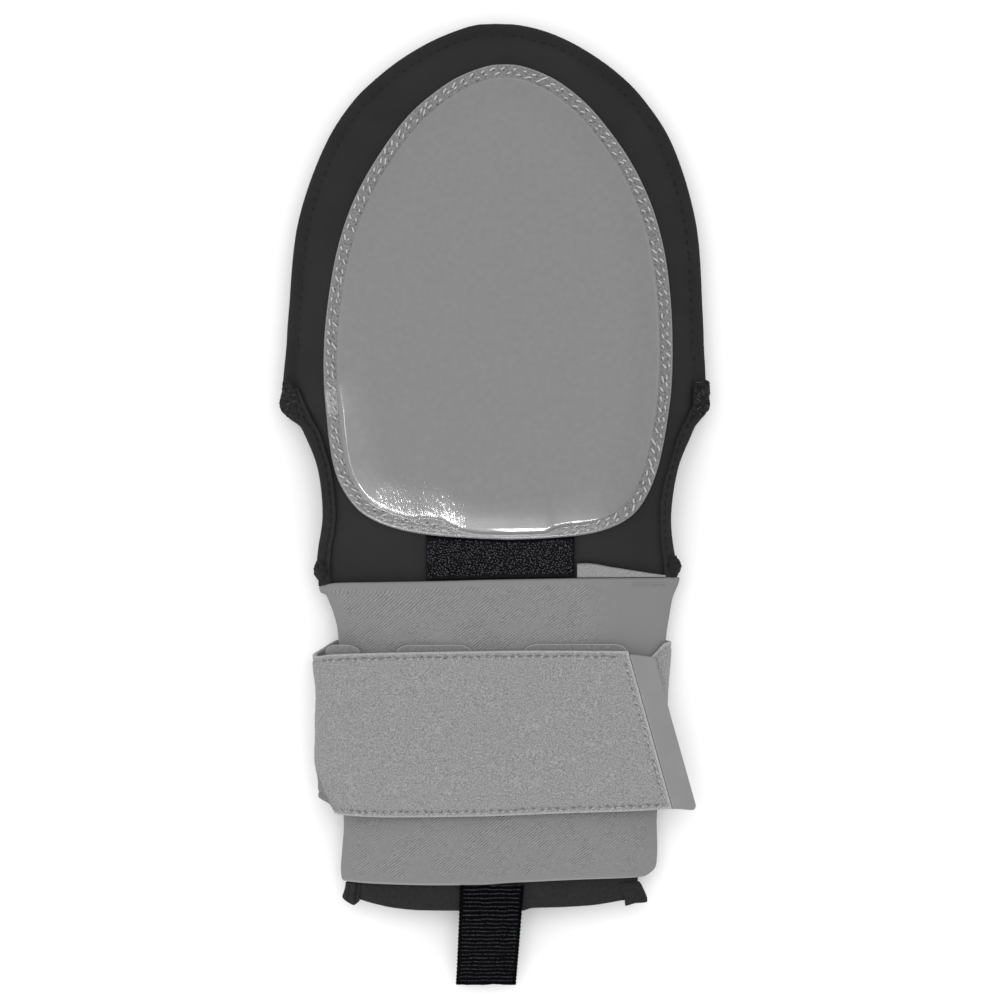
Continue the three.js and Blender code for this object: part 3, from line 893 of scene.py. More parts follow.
def rim_and_spine(ys, left, right, spine, cap_step):
    """A plan's rim, round from its upper left cap, and the spine point that each rim point faces."""
    top_cap, low_cap = (
        np.linspace(start, end, max(3, round(abs(end - start) / cap_step)))[1:-1]
        for start, end in ((left[0], right[0]), (right[-1], left[-1]))
    )
    x = np.concatenate([top_cap, right, low_cap, left[::-1]])
    y = np.concatenate([np.full(len(top_cap), ys[0]), ys, np.full(len(low_cap), ys[-1]), ys[::-1]])
    spine_y = mix(spine[0], spine[1], (ys - ys[-1]) / (ys[0] - ys[-1]))
    centres = (left + right) / 2
    facing = columns(np.interp(spine_y, spine, [centres[-1], centres[0]]), spine_y)
    caps = [np.repeat(end, len(cap), 0) for end, cap in ((facing[:1], top_cap), (facing[-1:], low_cap))]
    return columns(x, y), np.concatenate([caps[0], facing, caps[1], facing[::-1]])


def thinned(ys, left, right, step):
    """The same two edges with rows about a step apart along them."""
    length = (arc_places(columns(left, ys)) + arc_places(columns(right, ys))) / 2
    at = evenly(0, length[-1], step)
    return [np.interp(at, length, column) for column in (ys, left, right)]


def tubes(name, paths, radius, cover, sides=6, up=(0, 0, 1), end=0.35):
    """Many threads as one piece: each path is a row of points, its ends drawn in."""
    paths = np.asarray(paths, float)
    count, steps = paths.shape[:2]
    along = unit(np.gradient(paths, axis=1))
    aside = np.cross(along, np.broadcast_to(np.asarray(up, float), paths.shape))
    upright = np.linalg.norm(aside, axis=2, keepdims=True) < 1e-3
    aside = unit(np.where(upright, np.cross(along, np.array([1.0, 0.3, 0])), aside))
    over = np.cross(aside, along)
    size = np.full(steps, float(radius))
    size[[0, -1]] *= end
    turn = np.arange(sides) * 2 * math.pi / sides
    around = aside[:, :, None] * np.cos(turn)[:, None] + over[:, :, None] * np.sin(turn)[:, None]
    rings = paths[:, :, None] + around * size[None, :, None, None]
    index = np.arange(count * steps * sides).reshape(count, steps, sides)
    here, there = index[:, :-1], index[:, 1:]
    walls = np.stack([here, np.roll(here, -1, 2), np.roll(there, -1, 2), there], -1).reshape(-1, 4)
    caps = index[:, 0, ::-1].tolist() + index[:, -1].tolist()
    return object_of(name, rings.reshape(-1, 3), walls.tolist() + caps, cover)


def surface_normals(height, x, y, probe=0.3):
    """Upward normals of a height function."""
    slope_x = (height(x + probe, y) - height(x - probe, y)) / (2 * probe)
    slope_y = (height(x, y + probe) - height(x, y - probe)) / (2 * probe)
    return unit(columns(-slope_x, -slope_y, 1.0))


def stitches(line, up, pitch, length, lift, slant=0.0, seed=1, points=7, start=0.5, uneven=0.4):
    """Paths of a row of stitches along a line of 3-D points, each dipping in at its two ends."""
    rng = np.random.default_rng(seed)
    places = arc_places(line)
    count = int((places[-1] - start) / pitch)
    centres = start + pitch * (np.arange(count) + 0.5 + rng.normal(0, 0.1 * uneven, count))
    size = length * np.clip(1 + rng.normal(0, 0.35 * uneven, count), 0.4, 1.5)[:, None]
    share = np.linspace(-0.5, 0.5, points)
    at = centres[:, None] + share * size
    spot, raised = read(line, places, at), read(up, places, at)
    ahead = read(unit(np.gradient(line, axis=0)), places, at)
    aside = np.cross(raised, ahead)
    lean = slant * (1 + rng.normal(0, 0.6 * uneven, (count, 1)))
    sway = lean * share * size + rng.normal(0, 0.2 * uneven, (count, 1))
    rise = lift * (1 - (2 * share) ** 4) - 0.35 * (2 * np.abs(share)) ** 6
    return spot + aside * sway[..., None] + raised * rise[None, :, None]


def on_surface(plan, height):
    """A plan line laid on a height function, and the normals there."""
    x, y = plan[:, 0], plan[:, 1]
    return columns(x, y, height(x, y)), surface_normals(height, x, y)


def declare(piece, node, width, length, held, *supports):
    """Puts cloth in a solid's place by hiding that solid, if there is one; its flat size is not used."""
    if node:
        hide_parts(node)


# Materials


def triple(value):
    """Three values, where one stands for all three: a grey as a colour, or a size along each axis."""
    return tuple(value) if hasattr(value, "__len__") else (value, value, value)


class Recipe:
    """A procedural material whose patterns follow the object's own metres; sizes are in millimetres."""

    def __init__(self, name, colour, roughness, **settings):
        self.material = bpy.data.materials.new(name)
        self.material.use_nodes = True
        self.tree = self.material.node_tree
        self.shader = self.tree.nodes["Principled BSDF"]
        self.shader.inputs["Base Color"].default_value = (*triple(colour), 1)
        self.shader.inputs["Roughness"].default_value = roughness
        for socket, value in settings.items():
            self.shader.inputs[socket.replace("_", " ").title().replace("Ior", "IOR")].default_value = value
        self.place = self.node("ShaderNodeTexCoord").outputs["Object"]
        self.bumps = {}

    def node(self, kind, links=(), **settings):
        made = self.tree.nodes.new(kind)
        for key, value in settings.items():
            setattr(made, key, value)
        for socket, value in dict(links).items():
            if isinstance(value, bpy.types.NodeSocket):
                self.tree.links.new(value, made.inputs[socket])
            else:
                made.inputs[socket].default_value = value
        return made

    def scaled(self, size, turn=0.0):
        """The place divided by a size along each axis, after a turn about Z."""
        turned = self.node("ShaderNodeMapping", {"Vector": self.place, "Rotation": (0, 0, turn)})
        scale = tuple(1 / (s * MM) for s in triple(size))
        return self.node("ShaderNodeMapping", {"Vector": turned.outputs[0], "Scale": scale}).outputs[0]

    def noise(self, size, detail=2.0, turn=0.0, roughness=0.5):
        links = {"Vector": self.scaled(size, turn), "Scale": 1.0, "Detail": detail, "Roughness": roughness}
        return self.node("ShaderNodeTexNoise", links).outputs["Fac"]

    def cells(self, size):
        links = {"Vector": self.scaled(size), "Scale": 1.0}
        return self.node("ShaderNodeTexVoronoi", links, feature="F1").outputs["Distance"]

    def relief(self):
        """The mesh's own height pattern, from 0 in a hollow to 1 on a crest."""
        return self.node("ShaderNodeAttribute", attribute_name="relief").outputs["Fac"]

    def maths(self, operation, a, b=0.0):
        return self.node("ShaderNodeMath", {0: a, 1: b}, operation=operation).outputs[0]

    def span(self, value, low, high, to_low, to_high):
        links = {"Value": value, "From Min": low, "From Max": high, "To Min": to_low, "To Max": to_high}
        return self.node("ShaderNodeMapRange", links).outputs[0]

    def near(self, place, inner, outer):
        """1 within a distance of a place, falling to 0 at a larger one."""
        links = {0: self.place, 1: tuple(value * MM for value in place)}
        away = self.node("ShaderNodeVectorMath", links, operation="DISTANCE").outputs["Value"]
        return self.span(away, inner * MM, outer * MM, 1, 0)

    def colour(self, value, *stops):
        """Colours along a value: each stop is a place and a colour."""
        ramp = self.node("ShaderNodeValToRGB", {"Fac": value})
        elements = ramp.color_ramp.elements
        for index, (place, colour) in enumerate(stops):
            stop = elements[index] if index < 2 else elements.new(place)
            stop.position, stop.color = place, (*triple(colour), 1)
        self.tree.links.new(ramp.outputs["Color"], self.shader.inputs["Base Color"])

    def bump(self, height, depth, strength=1.0, layer="Normal"):
        """Adds relief of a depth to the surface, or to its coat."""
        links = {"Height": height, "Distance": depth * MM, "Strength": strength}
        if layer in self.bumps:
            links["Normal"] = self.bumps[layer]
        self.bumps[layer] = self.node("ShaderNodeBump", links).outputs[0]
        self.tree.links.new(self.bumps[layer], self.shader.inputs[layer])

    def grain(self, size, depth, strength, detail=2):
        """Adds a fine irregular relief."""
        self.bump(self.noise(size, detail), depth, strength)


def shell_material():
    """Smooth stretch fabric: a very fine matt knit."""
    made = Recipe("shell_fabric", (0.02, 0.02, 0.0203), 0.85, specular_ior_level=0.03,
                  sheen_weight=0.04, sheen_roughness=0.5, sheen_tint=(0.8, 0.8, 0.82, 1))
    made.colour(made.noise(18, 3), (0.3, 0.018), (0.75, 0.0225))
    made.grain(size=0.42, depth=0.05, strength=0.5)
    made.grain(size=(0.5, 0.28, 0.5), depth=0.04, strength=0.4, detail=1)
    return made.material


def guard_material():
    """Grey rubber; its crown is under a clear film, rippled and frosted towards the lower left corner; its
    rim is painted paler as a highlight.
    """
    made = Recipe("guard_rubber", 0.15, 0.5, specular_ior_level=0.3, coat_roughness=0.05)
    border = made.relief()
    made.tree.links.new(made.span(border, 0, 0.3, 0.8, 0.1), made.shader.inputs["Coat Weight"])
    mottle = made.maths("MULTIPLY", made.span(made.noise(0.7), 0.25, 0.75, -0.45, 0.45), border)
    plain = made.span(made.noise(2.4, 4), 0.3, 0.7, 0.47, 0.53)
    # painted highlight: the pad's rim is made paler in colour
    pale = made.span(border, 0.6, 1, 0, 0.3)
    value = made.maths("ADD", made.maths("ADD", plain, mottle), pale)
    made.colour(value, (0.2, 0.09), (0.5, 0.147), (0.8, 0.225))
    surface_shift = made.span(made.noise(9, 3), 0.3, 0.7, 0.45, 0.56)
    made.tree.links.new(surface_shift, made.shader.inputs["Roughness"])
    made.grain(size=1.1, depth=0.02, strength=0.3, detail=3)
    frosted = made.near(FROST_CENTRE, 0.7 * FROST_REACH, FROST_REACH)
    for size, depth in (((0.75, 2.2, 3.4), 0.55), (1.5, 0.2)):
        made.bump(made.maths("MULTIPLY", made.noise(size), frosted), depth, layer="Coat Normal")
    return made.material


def binding_material():
    """Soft folded cloth; its relief paints highlights on ridges and crests and shade in grooves and hollows.
    """
    made = Recipe("binding_fabric", (0.02, 0.02, 0.0205), 0.9, specular_ior_level=0.02,
                  sheen_weight=0.04, sheen_roughness=0.5)
    value = made.maths("ADD", made.span(made.noise(1.2, 4), 0, 1, -0.22, 0.22), made.relief())
    made.colour(value, (0.15, 0.0075), (0.5, 0.0195), (0.85, 0.031))
    made.grain(size=0.5, depth=0.12, strength=0.6, detail=3)
    return made.material


def thread_material(name, colour, roughness=0.7):
    made = Recipe(name, colour, roughness, specular_ior_level=0.06)
    made.grain(size=0.22, depth=0.05, strength=0.6, detail=1)
    return made.material


def yarn_material():
    """Dark yarn whose loops catch the light unevenly."""
    made = Recipe("pile_yarn", (0.04, 0.04, 0.048), 0.6, specular_ior_level=0.06)
    made.colour(made.noise(0.8), (0.36, (0.004, 0.004, 0.006)), (0.64, (0.072, 0.072, 0.084)))
    return made.material


def pile_material():
    """The dark ground under the loops."""
    made = Recipe("dark_pile", (0.003, 0.003, 0.004), 0.9, specular_ior_level=0.04)
    made.colour(made.noise(0.9), (0.3, (0.0012, 0.0012, 0.002)), (0.8, (0.005, 0.005, 0.007)))
    made.grain(size=0.35, depth=0.15, strength=0.7)
    return made.material


def loop_material(name, contrast):
    """Brushed loop cloth: fine salt-and-pepper grain, paler along the strap's edges, with painted shade past
    its corner fold.
    """
    made = Recipe(name, 0.2, 0.95, specular_ior_level=0.05, sheen_weight=0.1, sheen_roughness=0.6)
    grain = made.noise(0.5, roughness=0.75)
    # Colour shift by the relief, which carries painted shade on the strap
    surface_shift = made.span(made.relief(), 0, 1, -0.35, 0.35)
    value = made.maths("ADD", made.span(grain, 0, 1, 0.5 - contrast / 2, 0.5 + contrast / 2), surface_shift)
    made.colour(value, (0.22, 0.1), (0.5, 0.226), (0.78, 0.38))
    made.bump(grain, 0.28 * contrast, 0.8)
    made.grain(size=1.9, depth=0.2, strength=0.35)
    return made.material


def elastic_material():
    """Twill elastic: fine slanted ribs of yarn that rise to the right, fainter in patches."""
    made = Recipe("ribbed_elastic", 0.18, 0.9, specular_ior_level=0.08,
                  sheen_weight=0.05, sheen_roughness=0.6)
    cloth = made.node("ShaderNodeAttribute", attribute_name="weave").outputs["Vector"]
    turned = made.node("ShaderNodeMapping", {"Vector": cloth, "Rotation": (0, 0, -RIB_ANGLE)}).outputs[0]
    parts = made.node("ShaderNodeSeparateXYZ", {0: turned}).outputs
    waver = made.span(made.noise(12), 0, 1, -0.8 * RIB_PITCH, 0.8 * RIB_PITCH)
    across = made.maths("MULTIPLY", made.maths("ADD", parts["Y"], waver), 2 * math.pi / RIB_PITCH)
    yarn = made.span(made.noise((1, 0.45, 0.7), turn=-RIB_ANGLE), 0.4, 0.6, 0, 1)
    patchy = made.span(made.noise((6, 4, 5)), 0.36, 0.6, 0.35, 1)
    clear = made.maths("MULTIPLY", made.maths("MULTIPLY", yarn, patchy), parts["Z"])
    rib = made.maths("MULTIPLY", made.maths("SINE", across), clear)
    # Colour shift by the relief: paler along the lower edge, a little darker where the ribs fade at the upper
    # right
    surface_shift = made.span(made.relief(), 0, 1, -0.4, 0.4)
    value = made.maths("ADD", made.span(rib, -1, 1, 0, 1), surface_shift)
    made.colour(value, (0, 0.113), (0.5, 0.187), (1, 0.3))
    made.bump(rib, 0.12, 0.8)
    made.grain(size=0.5, depth=0.08, strength=0.5)
    return made.material


def tab_material():
    """Smooth rubber."""
    made = Recipe("tab_rubber", 0.2, 0.6, specular_ior_level=0.25)
    made.colour(made.noise(6, 3), (0.3, 0.182), (0.7, 0.194))
    made.grain(size=0.6, depth=0.03, strength=0.4, detail=3)
    return made.material


def hook_material():
    """Tape with a field of tiny stiff hooks."""
    made = Recipe("hook_tape", 0.155, 0.7, specular_ior_level=0.2)
    made.colour(made.noise(0.7), (0.3, 0.128), (0.7, 0.18))
    made.bump(made.cells(0.7), 0.2, 0.5)
    return made.material


def webbing_material():
    """Black webbing whose thick cross ribs catch the light in short specks."""
    made = Recipe("webbing", (0.004, 0.004, 0.006), 0.9, specular_ior_level=0.01)
    specks = made.maths("MULTIPLY", made.relief(), made.span(made.noise((0.5, 0.3, 0.7)), 0.4, 0.58, 0.1, 1))
    made.colour(specks, (0.15, (0.001, 0.001, 0.0014)), (0.8, (0.04, 0.042, 0.048)))
    made.grain(size=(0.55, 1.4, 0.6), depth=0.12, strength=0.7)
    return made.material


def floor_material():
    made = Recipe("floor", 0.93, 0.9, specular_ior_level=0.1)
    made.colour(made.noise(60), (0.3, 0.925), (0.7, 0.935))
    return made.material


SHELL = shell_material(), "shell_fabric"
RUBBER = guard_material(), "guard_rubber"
BINDING = binding_material(), "binding_fabric"
TACK = BINDING[0], "black_thread"
BLACK_THREAD = thread_material("black_thread", (0.012, 0.012, 0.013), 0.9), "black_thread"
FUZZ_THREAD = thread_material("fuzz_thread", (0.05, 0.05, 0.051), 0.9), "black_thread"
PAD_THREAD = thread_material("grey_thread", 0.42, 0.6), "guard_rubber"
# Dark tubes beside the pad's stitches: painted shade where the needle holes are
PAINTED_HOLE_SHADE = thread_material("painted_hole_shade", 0.09, 0.9), "guard_rubber"
STRAP_THREAD = thread_material("strap_thread", 0.135), "loop_fabric"
PALE_THREAD = thread_material("pale_thread", 0.38), "loop_fabric"
SEAM_THREAD = thread_material("seam_thread", 0.24, 0.8), "ribbed_elastic"
RIM_THREAD = thread_material("hook_edge", 0.3, 0.6), "hook_tape"
PILE_YARN = yarn_material(), "dark_pile"
PILE = pile_material(), "dark_pile"
LOOP = loop_material("loop_fabric", 1), "loop_fabric"
FACING_CLOTH = loop_material("facing_cloth", 0.6), "loop_fabric"
ELASTIC = elastic_material(), "ribbed_elastic"
TAB = tab_material(), "tab_rubber"
HOOK = hook_material(), "hook_tape"
WEBBING = webbing_material(), "webbing"


# Body


def panel_edges():
    """Both edges of a panel: set back behind the bindings, and narrow inside the wristband."""
    ys = np.concatenate([sides_of(BODY)[0], evenly(BODY["y"][-1], PANEL_END, 0.5)[1:]])
    opening = between(ys, (THUMB_BOTTOM - 0.5, THUMB_BOTTOM + 1), (THUMB_TOP - 1, THUMB_TOP + 0.5))
    edges = []
    for side, band in (("left", band_left), ("right", band_right)):
        body, way = body_edge(side)
        slope = np.hypot(1, np.gradient(body(ys), ys))
        free = body(ys) + way * BINDING_INSET * opening * slope
        tucked = smooth(-ys, -PANEL_TUCK[side], TUCK_LENGTH - PANEL_TUCK[side])
        edges.append(mix(free, band(ys) + way * SEAM_CLEARANCE, tucked))
    return ys, *edges


def panel(name, node, faces, step):
    ys, left, right = thinned(*panel_edges(), step)
    rim, spine = rim_and_spine(ys, left, right, PANEL_SPINE, cap_step=1.5)
    depths = np.concatenate([EDGE_DEPTHS, evenly(1.6, 8, 0.55), evenly(9, 17, 1.3)])
    made = dome(name, rim, spine, depths, 14, faces, (PANEL_EDGE, PANEL_EDGE), SHELL)
    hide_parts(node)


def seam_stitches():
    """The topstitch through both panels, along the fingers and down to the thumb openings."""
    plan = SEAM.inset(SEAM_ROW)
    plan = resampled(plan[plan[:, 1] > BAR_TACKS["upper_left"]["y"][0] + 2], LINE_STEP)
    paths = []
    for height, way in ((sewn_back, 1), (sewn_palm, -1)):
        line, up = on_surface(plan, height)
        paths.append(stitches(line, up * way, SEAM_PITCH, 1.5, 0.12, slant=0.2, seed=11, uneven=1))
    tubes("seam_stitches", np.concatenate(paths), 0.18, BLACK_THREAD)


def pad_border(x, y, distance):
    """Which part of the pad's face this is: 0 the crown, then its plain border, the sewn one, 1 the rim,
    which is painted paler as a highlight.
    """
    border = 1 - smooth(distance, foot_depth(x, y) - 0.1, foot_depth(x, y) + 0.3)
    rim = 1 - smooth(distance, 0.3, 0.8)
    return np.maximum(mix(PLAIN_BORDER_RELIEF, SEWN_BORDER_RELIEF, pad_sewn(x, y)) * border, rim)


def pad_under(x, y):
    return back_top(x, y) + PAD_GAP / 4


def guard_pad():
    ys, left, right = thinned(*sides_of(PAD), 0.75)
    rim, spine = rim_and_spine(ys, left, right, PAD_SPINE, cap_step=0.8)
    depths = np.concatenate([EDGE_DEPTHS[:-1] * 0.9, evenly(1, 7.6, 0.3), evenly(8.3, 18, 1)])
    pad = dome("guard", rim, spine, depths, 18, (pad_top, pad_under), PAD_EDGES, RUBBER, pad_border)
    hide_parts("guard_pad")


def pad_rows(beside, seed, **stitch):
    """Stitches along both rows of the pad's flange, or dark marks beside them that paint the needle holes'
    shade, where the rows show.
    """
    rows = []
    for number, depth in enumerate(PAD_ROWS):
        plan = resampled(PAD_EDGE.inset(depth + beside), LINE_STEP)
        rows.append(stitches(*on_surface(plan, pad_top), PAD_PITCH, seed=seed + number, **stitch))
    paths = np.concatenate(rows)
    centres = paths[:, paths.shape[1] // 2]
    return paths[pad_sewn(centres[:, 0], centres[:, 1]) > 0.5]


def pad_stitches():
    """Two rows of grey stitches round the pad's flange, with a dark mark beside each that paints the shade of
    its needle hole.
    """
    threads = pad_rows(beside=0, seed=21, length=1.6, lift=0.24, slant=0.5, uneven=1)
    hole_shades = pad_rows(beside=0.7, seed=23, length=0.6, lift=0.04, slant=0.4, start=1.4, uneven=1.5)
    tubes("guard_stitches", threads, 0.3, PAD_THREAD)
    tubes("guard_painted_hole_shades", hole_shades, 0.15, PAINTED_HOLE_SHADE)


# Thumb openings


def edge_slant(side, y, probe=0.5):
    """How much farther along X than straight across a place lies from the body's edge."""
    edge, _ = body_edge(side)
    return np.hypot(1, (edge(y + probe) - edge(y - probe)) / (2 * probe))


def inwards(side, y, depth):
    """The plan place a depth inside the body's edge, along X."""
    edge, way = body_edge(side)
    return edge(y) + way * depth * edge_slant(side, y)


def heights_at(side, ys, depth, height):
    return height(inwards(side, ys, depth), ys)


def rounded(corners, radius, count):
    """A line through corners, the inner ones rounded off, as a number of even places."""
    t = np.linspace(0, 1, 7)[:, None]
    points = [corners[0]]
    for before, here, after in zip(corners, corners[1:], corners[2:]):
        start = here + (before - here) * min(radius / np.linalg.norm(before - here), 0.5)
        end = here + (after - here) * min(radius / np.linalg.norm(after - here), 0.5)
        points.extend((1 - t) ** 2 * start + 2 * t * (1 - t) * here + t**2 * end)
    line = np.array([*points, corners[-1]])
    places = arc_places(line)
    return read(line, places, np.linspace(0, places[-1], count))


def edge_strip(side, ys, corners, radius, count=30):
    """A grid that runs along the body's edge; each corner is its depths and heights down the edge."""
    corner_rows = np.stack([columns(depth, height) for depth, height in corners], 1)
    sections = np.array([rounded(row, radius, count) for row in corner_rows])
    down = ys[:, None]
    return columns(inwards(side, down, sections[..., 0]), down, sections[..., 1])


def binding(side):
    """A folded strip over the panel's edge and its border; past the opening only its flat part goes on."""
    ys = evenly(TRIM["y"][0], TRIM_END[side], 0.55)
    edge, way = body_edge(side)
    inner_depth = way * (edge_line(TRIM, side)(ys) - edge(ys)) / edge_slant(side, ys)
    flat = 1 - between(ys, (THUMB_BOTTOM - 1.2, THUMB_BOTTOM + 0.4), (THUMB_TOP - 0.9, THUMB_TOP + 0.7))
    middle = TRIM_WALL / 2
    outer_depth = mix(middle, 1.3, flat)
    shoulder = heights_at(side, ys, np.maximum(outer_depth, 1), back_top) + mix(GAP, SOFT_GAP, flat) + middle
    foot = mix(heights_at(side, ys, 1, back_inside) + 0.2, shoulder - 0.3, flat)
    inner = heights_at(side, ys, inner_depth, back_top) + SOFT_GAP + middle
    corners = [(outer_depth, foot), (outer_depth, shoulder), (inner_depth, inner)]
    return edge_strip(side, ys, corners, radius=1.2)


def grid_line(grid, column):
    """A column of a grid, and its upward normals."""
    turned = normals(grid)
    turned *= np.sign(turned[..., 2].sum())
    return grid[:, column], turned[:, column]


def thumb_bindings():
    """Both bindings, each with its row of stitches."""
    threads = []
    for side, outside in (("left", "back"), ("right", "front")):
        grid = binding(side)
        across = np.linspace(0, 1, grid.shape[1])
        along = arc_places(grid[:, -1])[:, None]
        swell = 0.12 * wave(along, TRIM_PITCH) * bell(across, 0.72, width=0.2)
        channel = -0.14 * bell(across, TRIM_ROW, width=0.04)
        ridge = 0.1 * bell(across, TRIM_RIDGE, width=0.04)
        # Painted light on the binding: a painted highlight along the folded ridge and painted shade along the
        # sewn channel
        pale, dark = bell(across, TRIM_RIDGE, width=0.03), bell(across, TRIM_ROW, width=0.05)
        relief = np.broadcast_to(PLAIN + 0.18 * pale - 0.12 * dark, grid.shape[:2])
        face = {outside: swell + channel + ridge}
        piece = slab(f"thumb_trim_{side}", grid, TRIM_WALL / 2, BINDING, relief=relief, **face)
        length = TRIM["y"][0] - TRIM_END[side]
        declare(piece, f"thumb_binding_{side}", TRIM_WIDTH, length, "folded", "back_panel")
        line, up = grid_line(grid, round(TRIM_ROW * (len(across) - 1)))
        line = line + up * TRIM_WALL / 2
        threads.append(stitches(line, up, TRIM_PITCH, 1.9, 0.1, slant=0.1, seed=41))
    tubes("thumb_stitches", np.concatenate(threads), 0.22, BLACK_THREAD)


def sampled(grid, row, column):
    """Points of a grid at fractional row and column numbers."""
    r = np.clip(row.astype(int), 0, grid.shape[0] - 2)
    c = np.clip(column.astype(int), 0, grid.shape[1] - 2)
    down, across = (row - r)[..., None], (column - c)[..., None]
    upper = mix(grid[r, c], grid[r, c + 1], across)
    lower = mix(grid[r + 1, c], grid[r + 1, c + 1], across)
    return mix(upper, lower, down)


def bar_threads(grid, count, rng):
    """Short uneven stitches strewn over a thread bar."""
    turned = normals(grid)
    turned *= np.sign(((grid - grid.mean((0, 1))) * turned).sum())
    share = np.linspace(-0.5, 0.5, 6)
    length, lean = rng.uniform(0.8, 2.2, (count, 1)), rng.normal(0, 0.7, (count, 1))
    places = []
    for axis, margin, part in ((0, 0.04, np.sin(lean)), (1, 0.03, np.cos(lean))):
        step = np.linalg.norm(np.diff(grid, axis=axis), axis=2).mean()
        last = grid.shape[axis] - 1
        centre = rng.uniform(margin, 1 - margin, (count, 1)) * last
        places.append(np.clip(centre + share * length * part / step, 0, last))
    lift = TRIM_WALL / 2 + 0.16 * (1 - (2 * share) ** 2) - 0.04
    return sampled(grid, *places) + sampled(turned, *places) * lift[None, :, None]


def bar_tacks():
    """Soft thread lumps that wrap the joined edges at both ends of each opening."""
    rng = np.random.default_rng(51)
    half = TRIM_WALL / 2
    above = TRIM_WALL + GAP + half
    for name, rows in BAR_TACKS.items():
        end, side = name.split("_")
        ys = evenly(rows["y"][0], rows["y"][-1], 0.4)
        out, reach = follow(rows, "y", "out")(ys), follow(rows, "y", "reach")(ys)
        swell = 0.15 * np.sin(math.pi * (ys - ys[-1]) / (ys[0] - ys[-1]))
        inner_over = heights_at(side, ys, np.maximum(reach, 1), back_top) + SOFT_GAP + above
        outer_over = heights_at(side, ys, 1, back_top) + above + swell
        inner_under = heights_at(side, ys, np.maximum(reach, 1), palm_bottom) - SOFT_GAP - half
        outer_under = heights_at(side, ys, 1, palm_bottom) - GAP - half - swell
        outside = half - out
        corners = [(reach, inner_over), (outside, outer_over), (outside, outer_under), (reach, inner_under)]
        grid = edge_strip(side, ys, corners, radius=2.2)
        lumps = 0.16 * ripples(grid[..., 1], grid[..., 0] + grid[..., 2], size=2.6, seed=55)
        # The relief paints highlights on the lumps' crests and shade between them
        lump = slab(f"bar_{name}", grid, half, TACK, front=lumps, back=lumps, relief=0.42 + 0.5 * lumps)
        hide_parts(f"bar_tack_{name}")
        threads = bar_threads(grid, BAR_THREADS[end], rng)
        light = len(threads) // 5
        tubes(f"bar_{name}_dark", threads[light:], 0.2, BLACK_THREAD, sides=5)
        tubes(f"bar_{name}_light", threads[:light], 0.2, FUZZ_THREAD, sides=5)


# Wristband and hem


# Powers that bend a circle's sine and cosine into a flattened ring, and into its outward direction
RING_ROUND = 2 / CUFF_ROUNDNESS
RING_OUTWARDS = 2 - RING_ROUND


def bent(value, power=RING_ROUND):
    """A sine or cosine drawn out towards the corners of a flattened ring."""
    return np.sign(value) * np.abs(value) ** power


def ring_angles(width, height, top_step, low_step):
    """Angles round a flattened ring from its left, over the top and back below, and their places along it."""
    dense = np.linspace(math.pi, -math.pi, 4001)
    places = arc_places(columns(width / 2 * bent(np.cos(dense)), height / 2 * bent(np.sin(dense))))
    half = places[-1] / 2
    at = np.concatenate([evenly(0, half, top_step)[:-1], evenly(half, 2 * half, low_step)[:-1]])
    return np.interp(at, places, dense), at


class Tube:
    """A flattened ring whose size follows a table."""

    def __init__(self, rows):
        self.left, self.right = edge_line(rows, "left"), edge_line(rows, "right")
        self.half, self.middle = follow(rows, "y", "half"), follow(rows, "y", "middle")

    def points(self, angles, ys, inset=0.0, proud=0.0):
        """A grid with a row for each angle and a column for each y; proud moves it straight outwards."""
        cosine, sine = np.cos(angles)[:, None], np.sin(angles)[:, None]
        wide = (self.right(ys) - self.left(ys)) / 2 - inset
        high = self.half(ys) - inset
        out_x, out_z = bent(cosine, RING_OUTWARDS) / wide, bent(sine, RING_OUTWARDS) / high
        out = np.hypot(out_x, out_z)
        x = (self.right(ys) + self.left(ys)) / 2 + wide * bent(cosine) + proud * out_x / out
        z = self.middle(ys) + high * bent(sine) + proud * out_z / out
        return columns(x, ys, z)

    def top(self, x, ys):
        """The height of the tube's upper face."""
        wide = (self.right(ys) - self.left(ys)) / 2
        u = np.abs(x - (self.right(ys) + self.left(ys)) / 2) / wide
        return self.middle(ys) + self.half(ys) * arch(u)


band_tube = Tube(WRISTBAND)


def band_shift(x, y):
    """How far the elastic's cut edges carry a point along the mitt."""
    share = clip01((BAND_TOP - y) / (BAND_TOP - BAND_LOW))
    return band_top_drift(x) * (1 - share) ** 6 + band_low_drift(x) * share**6


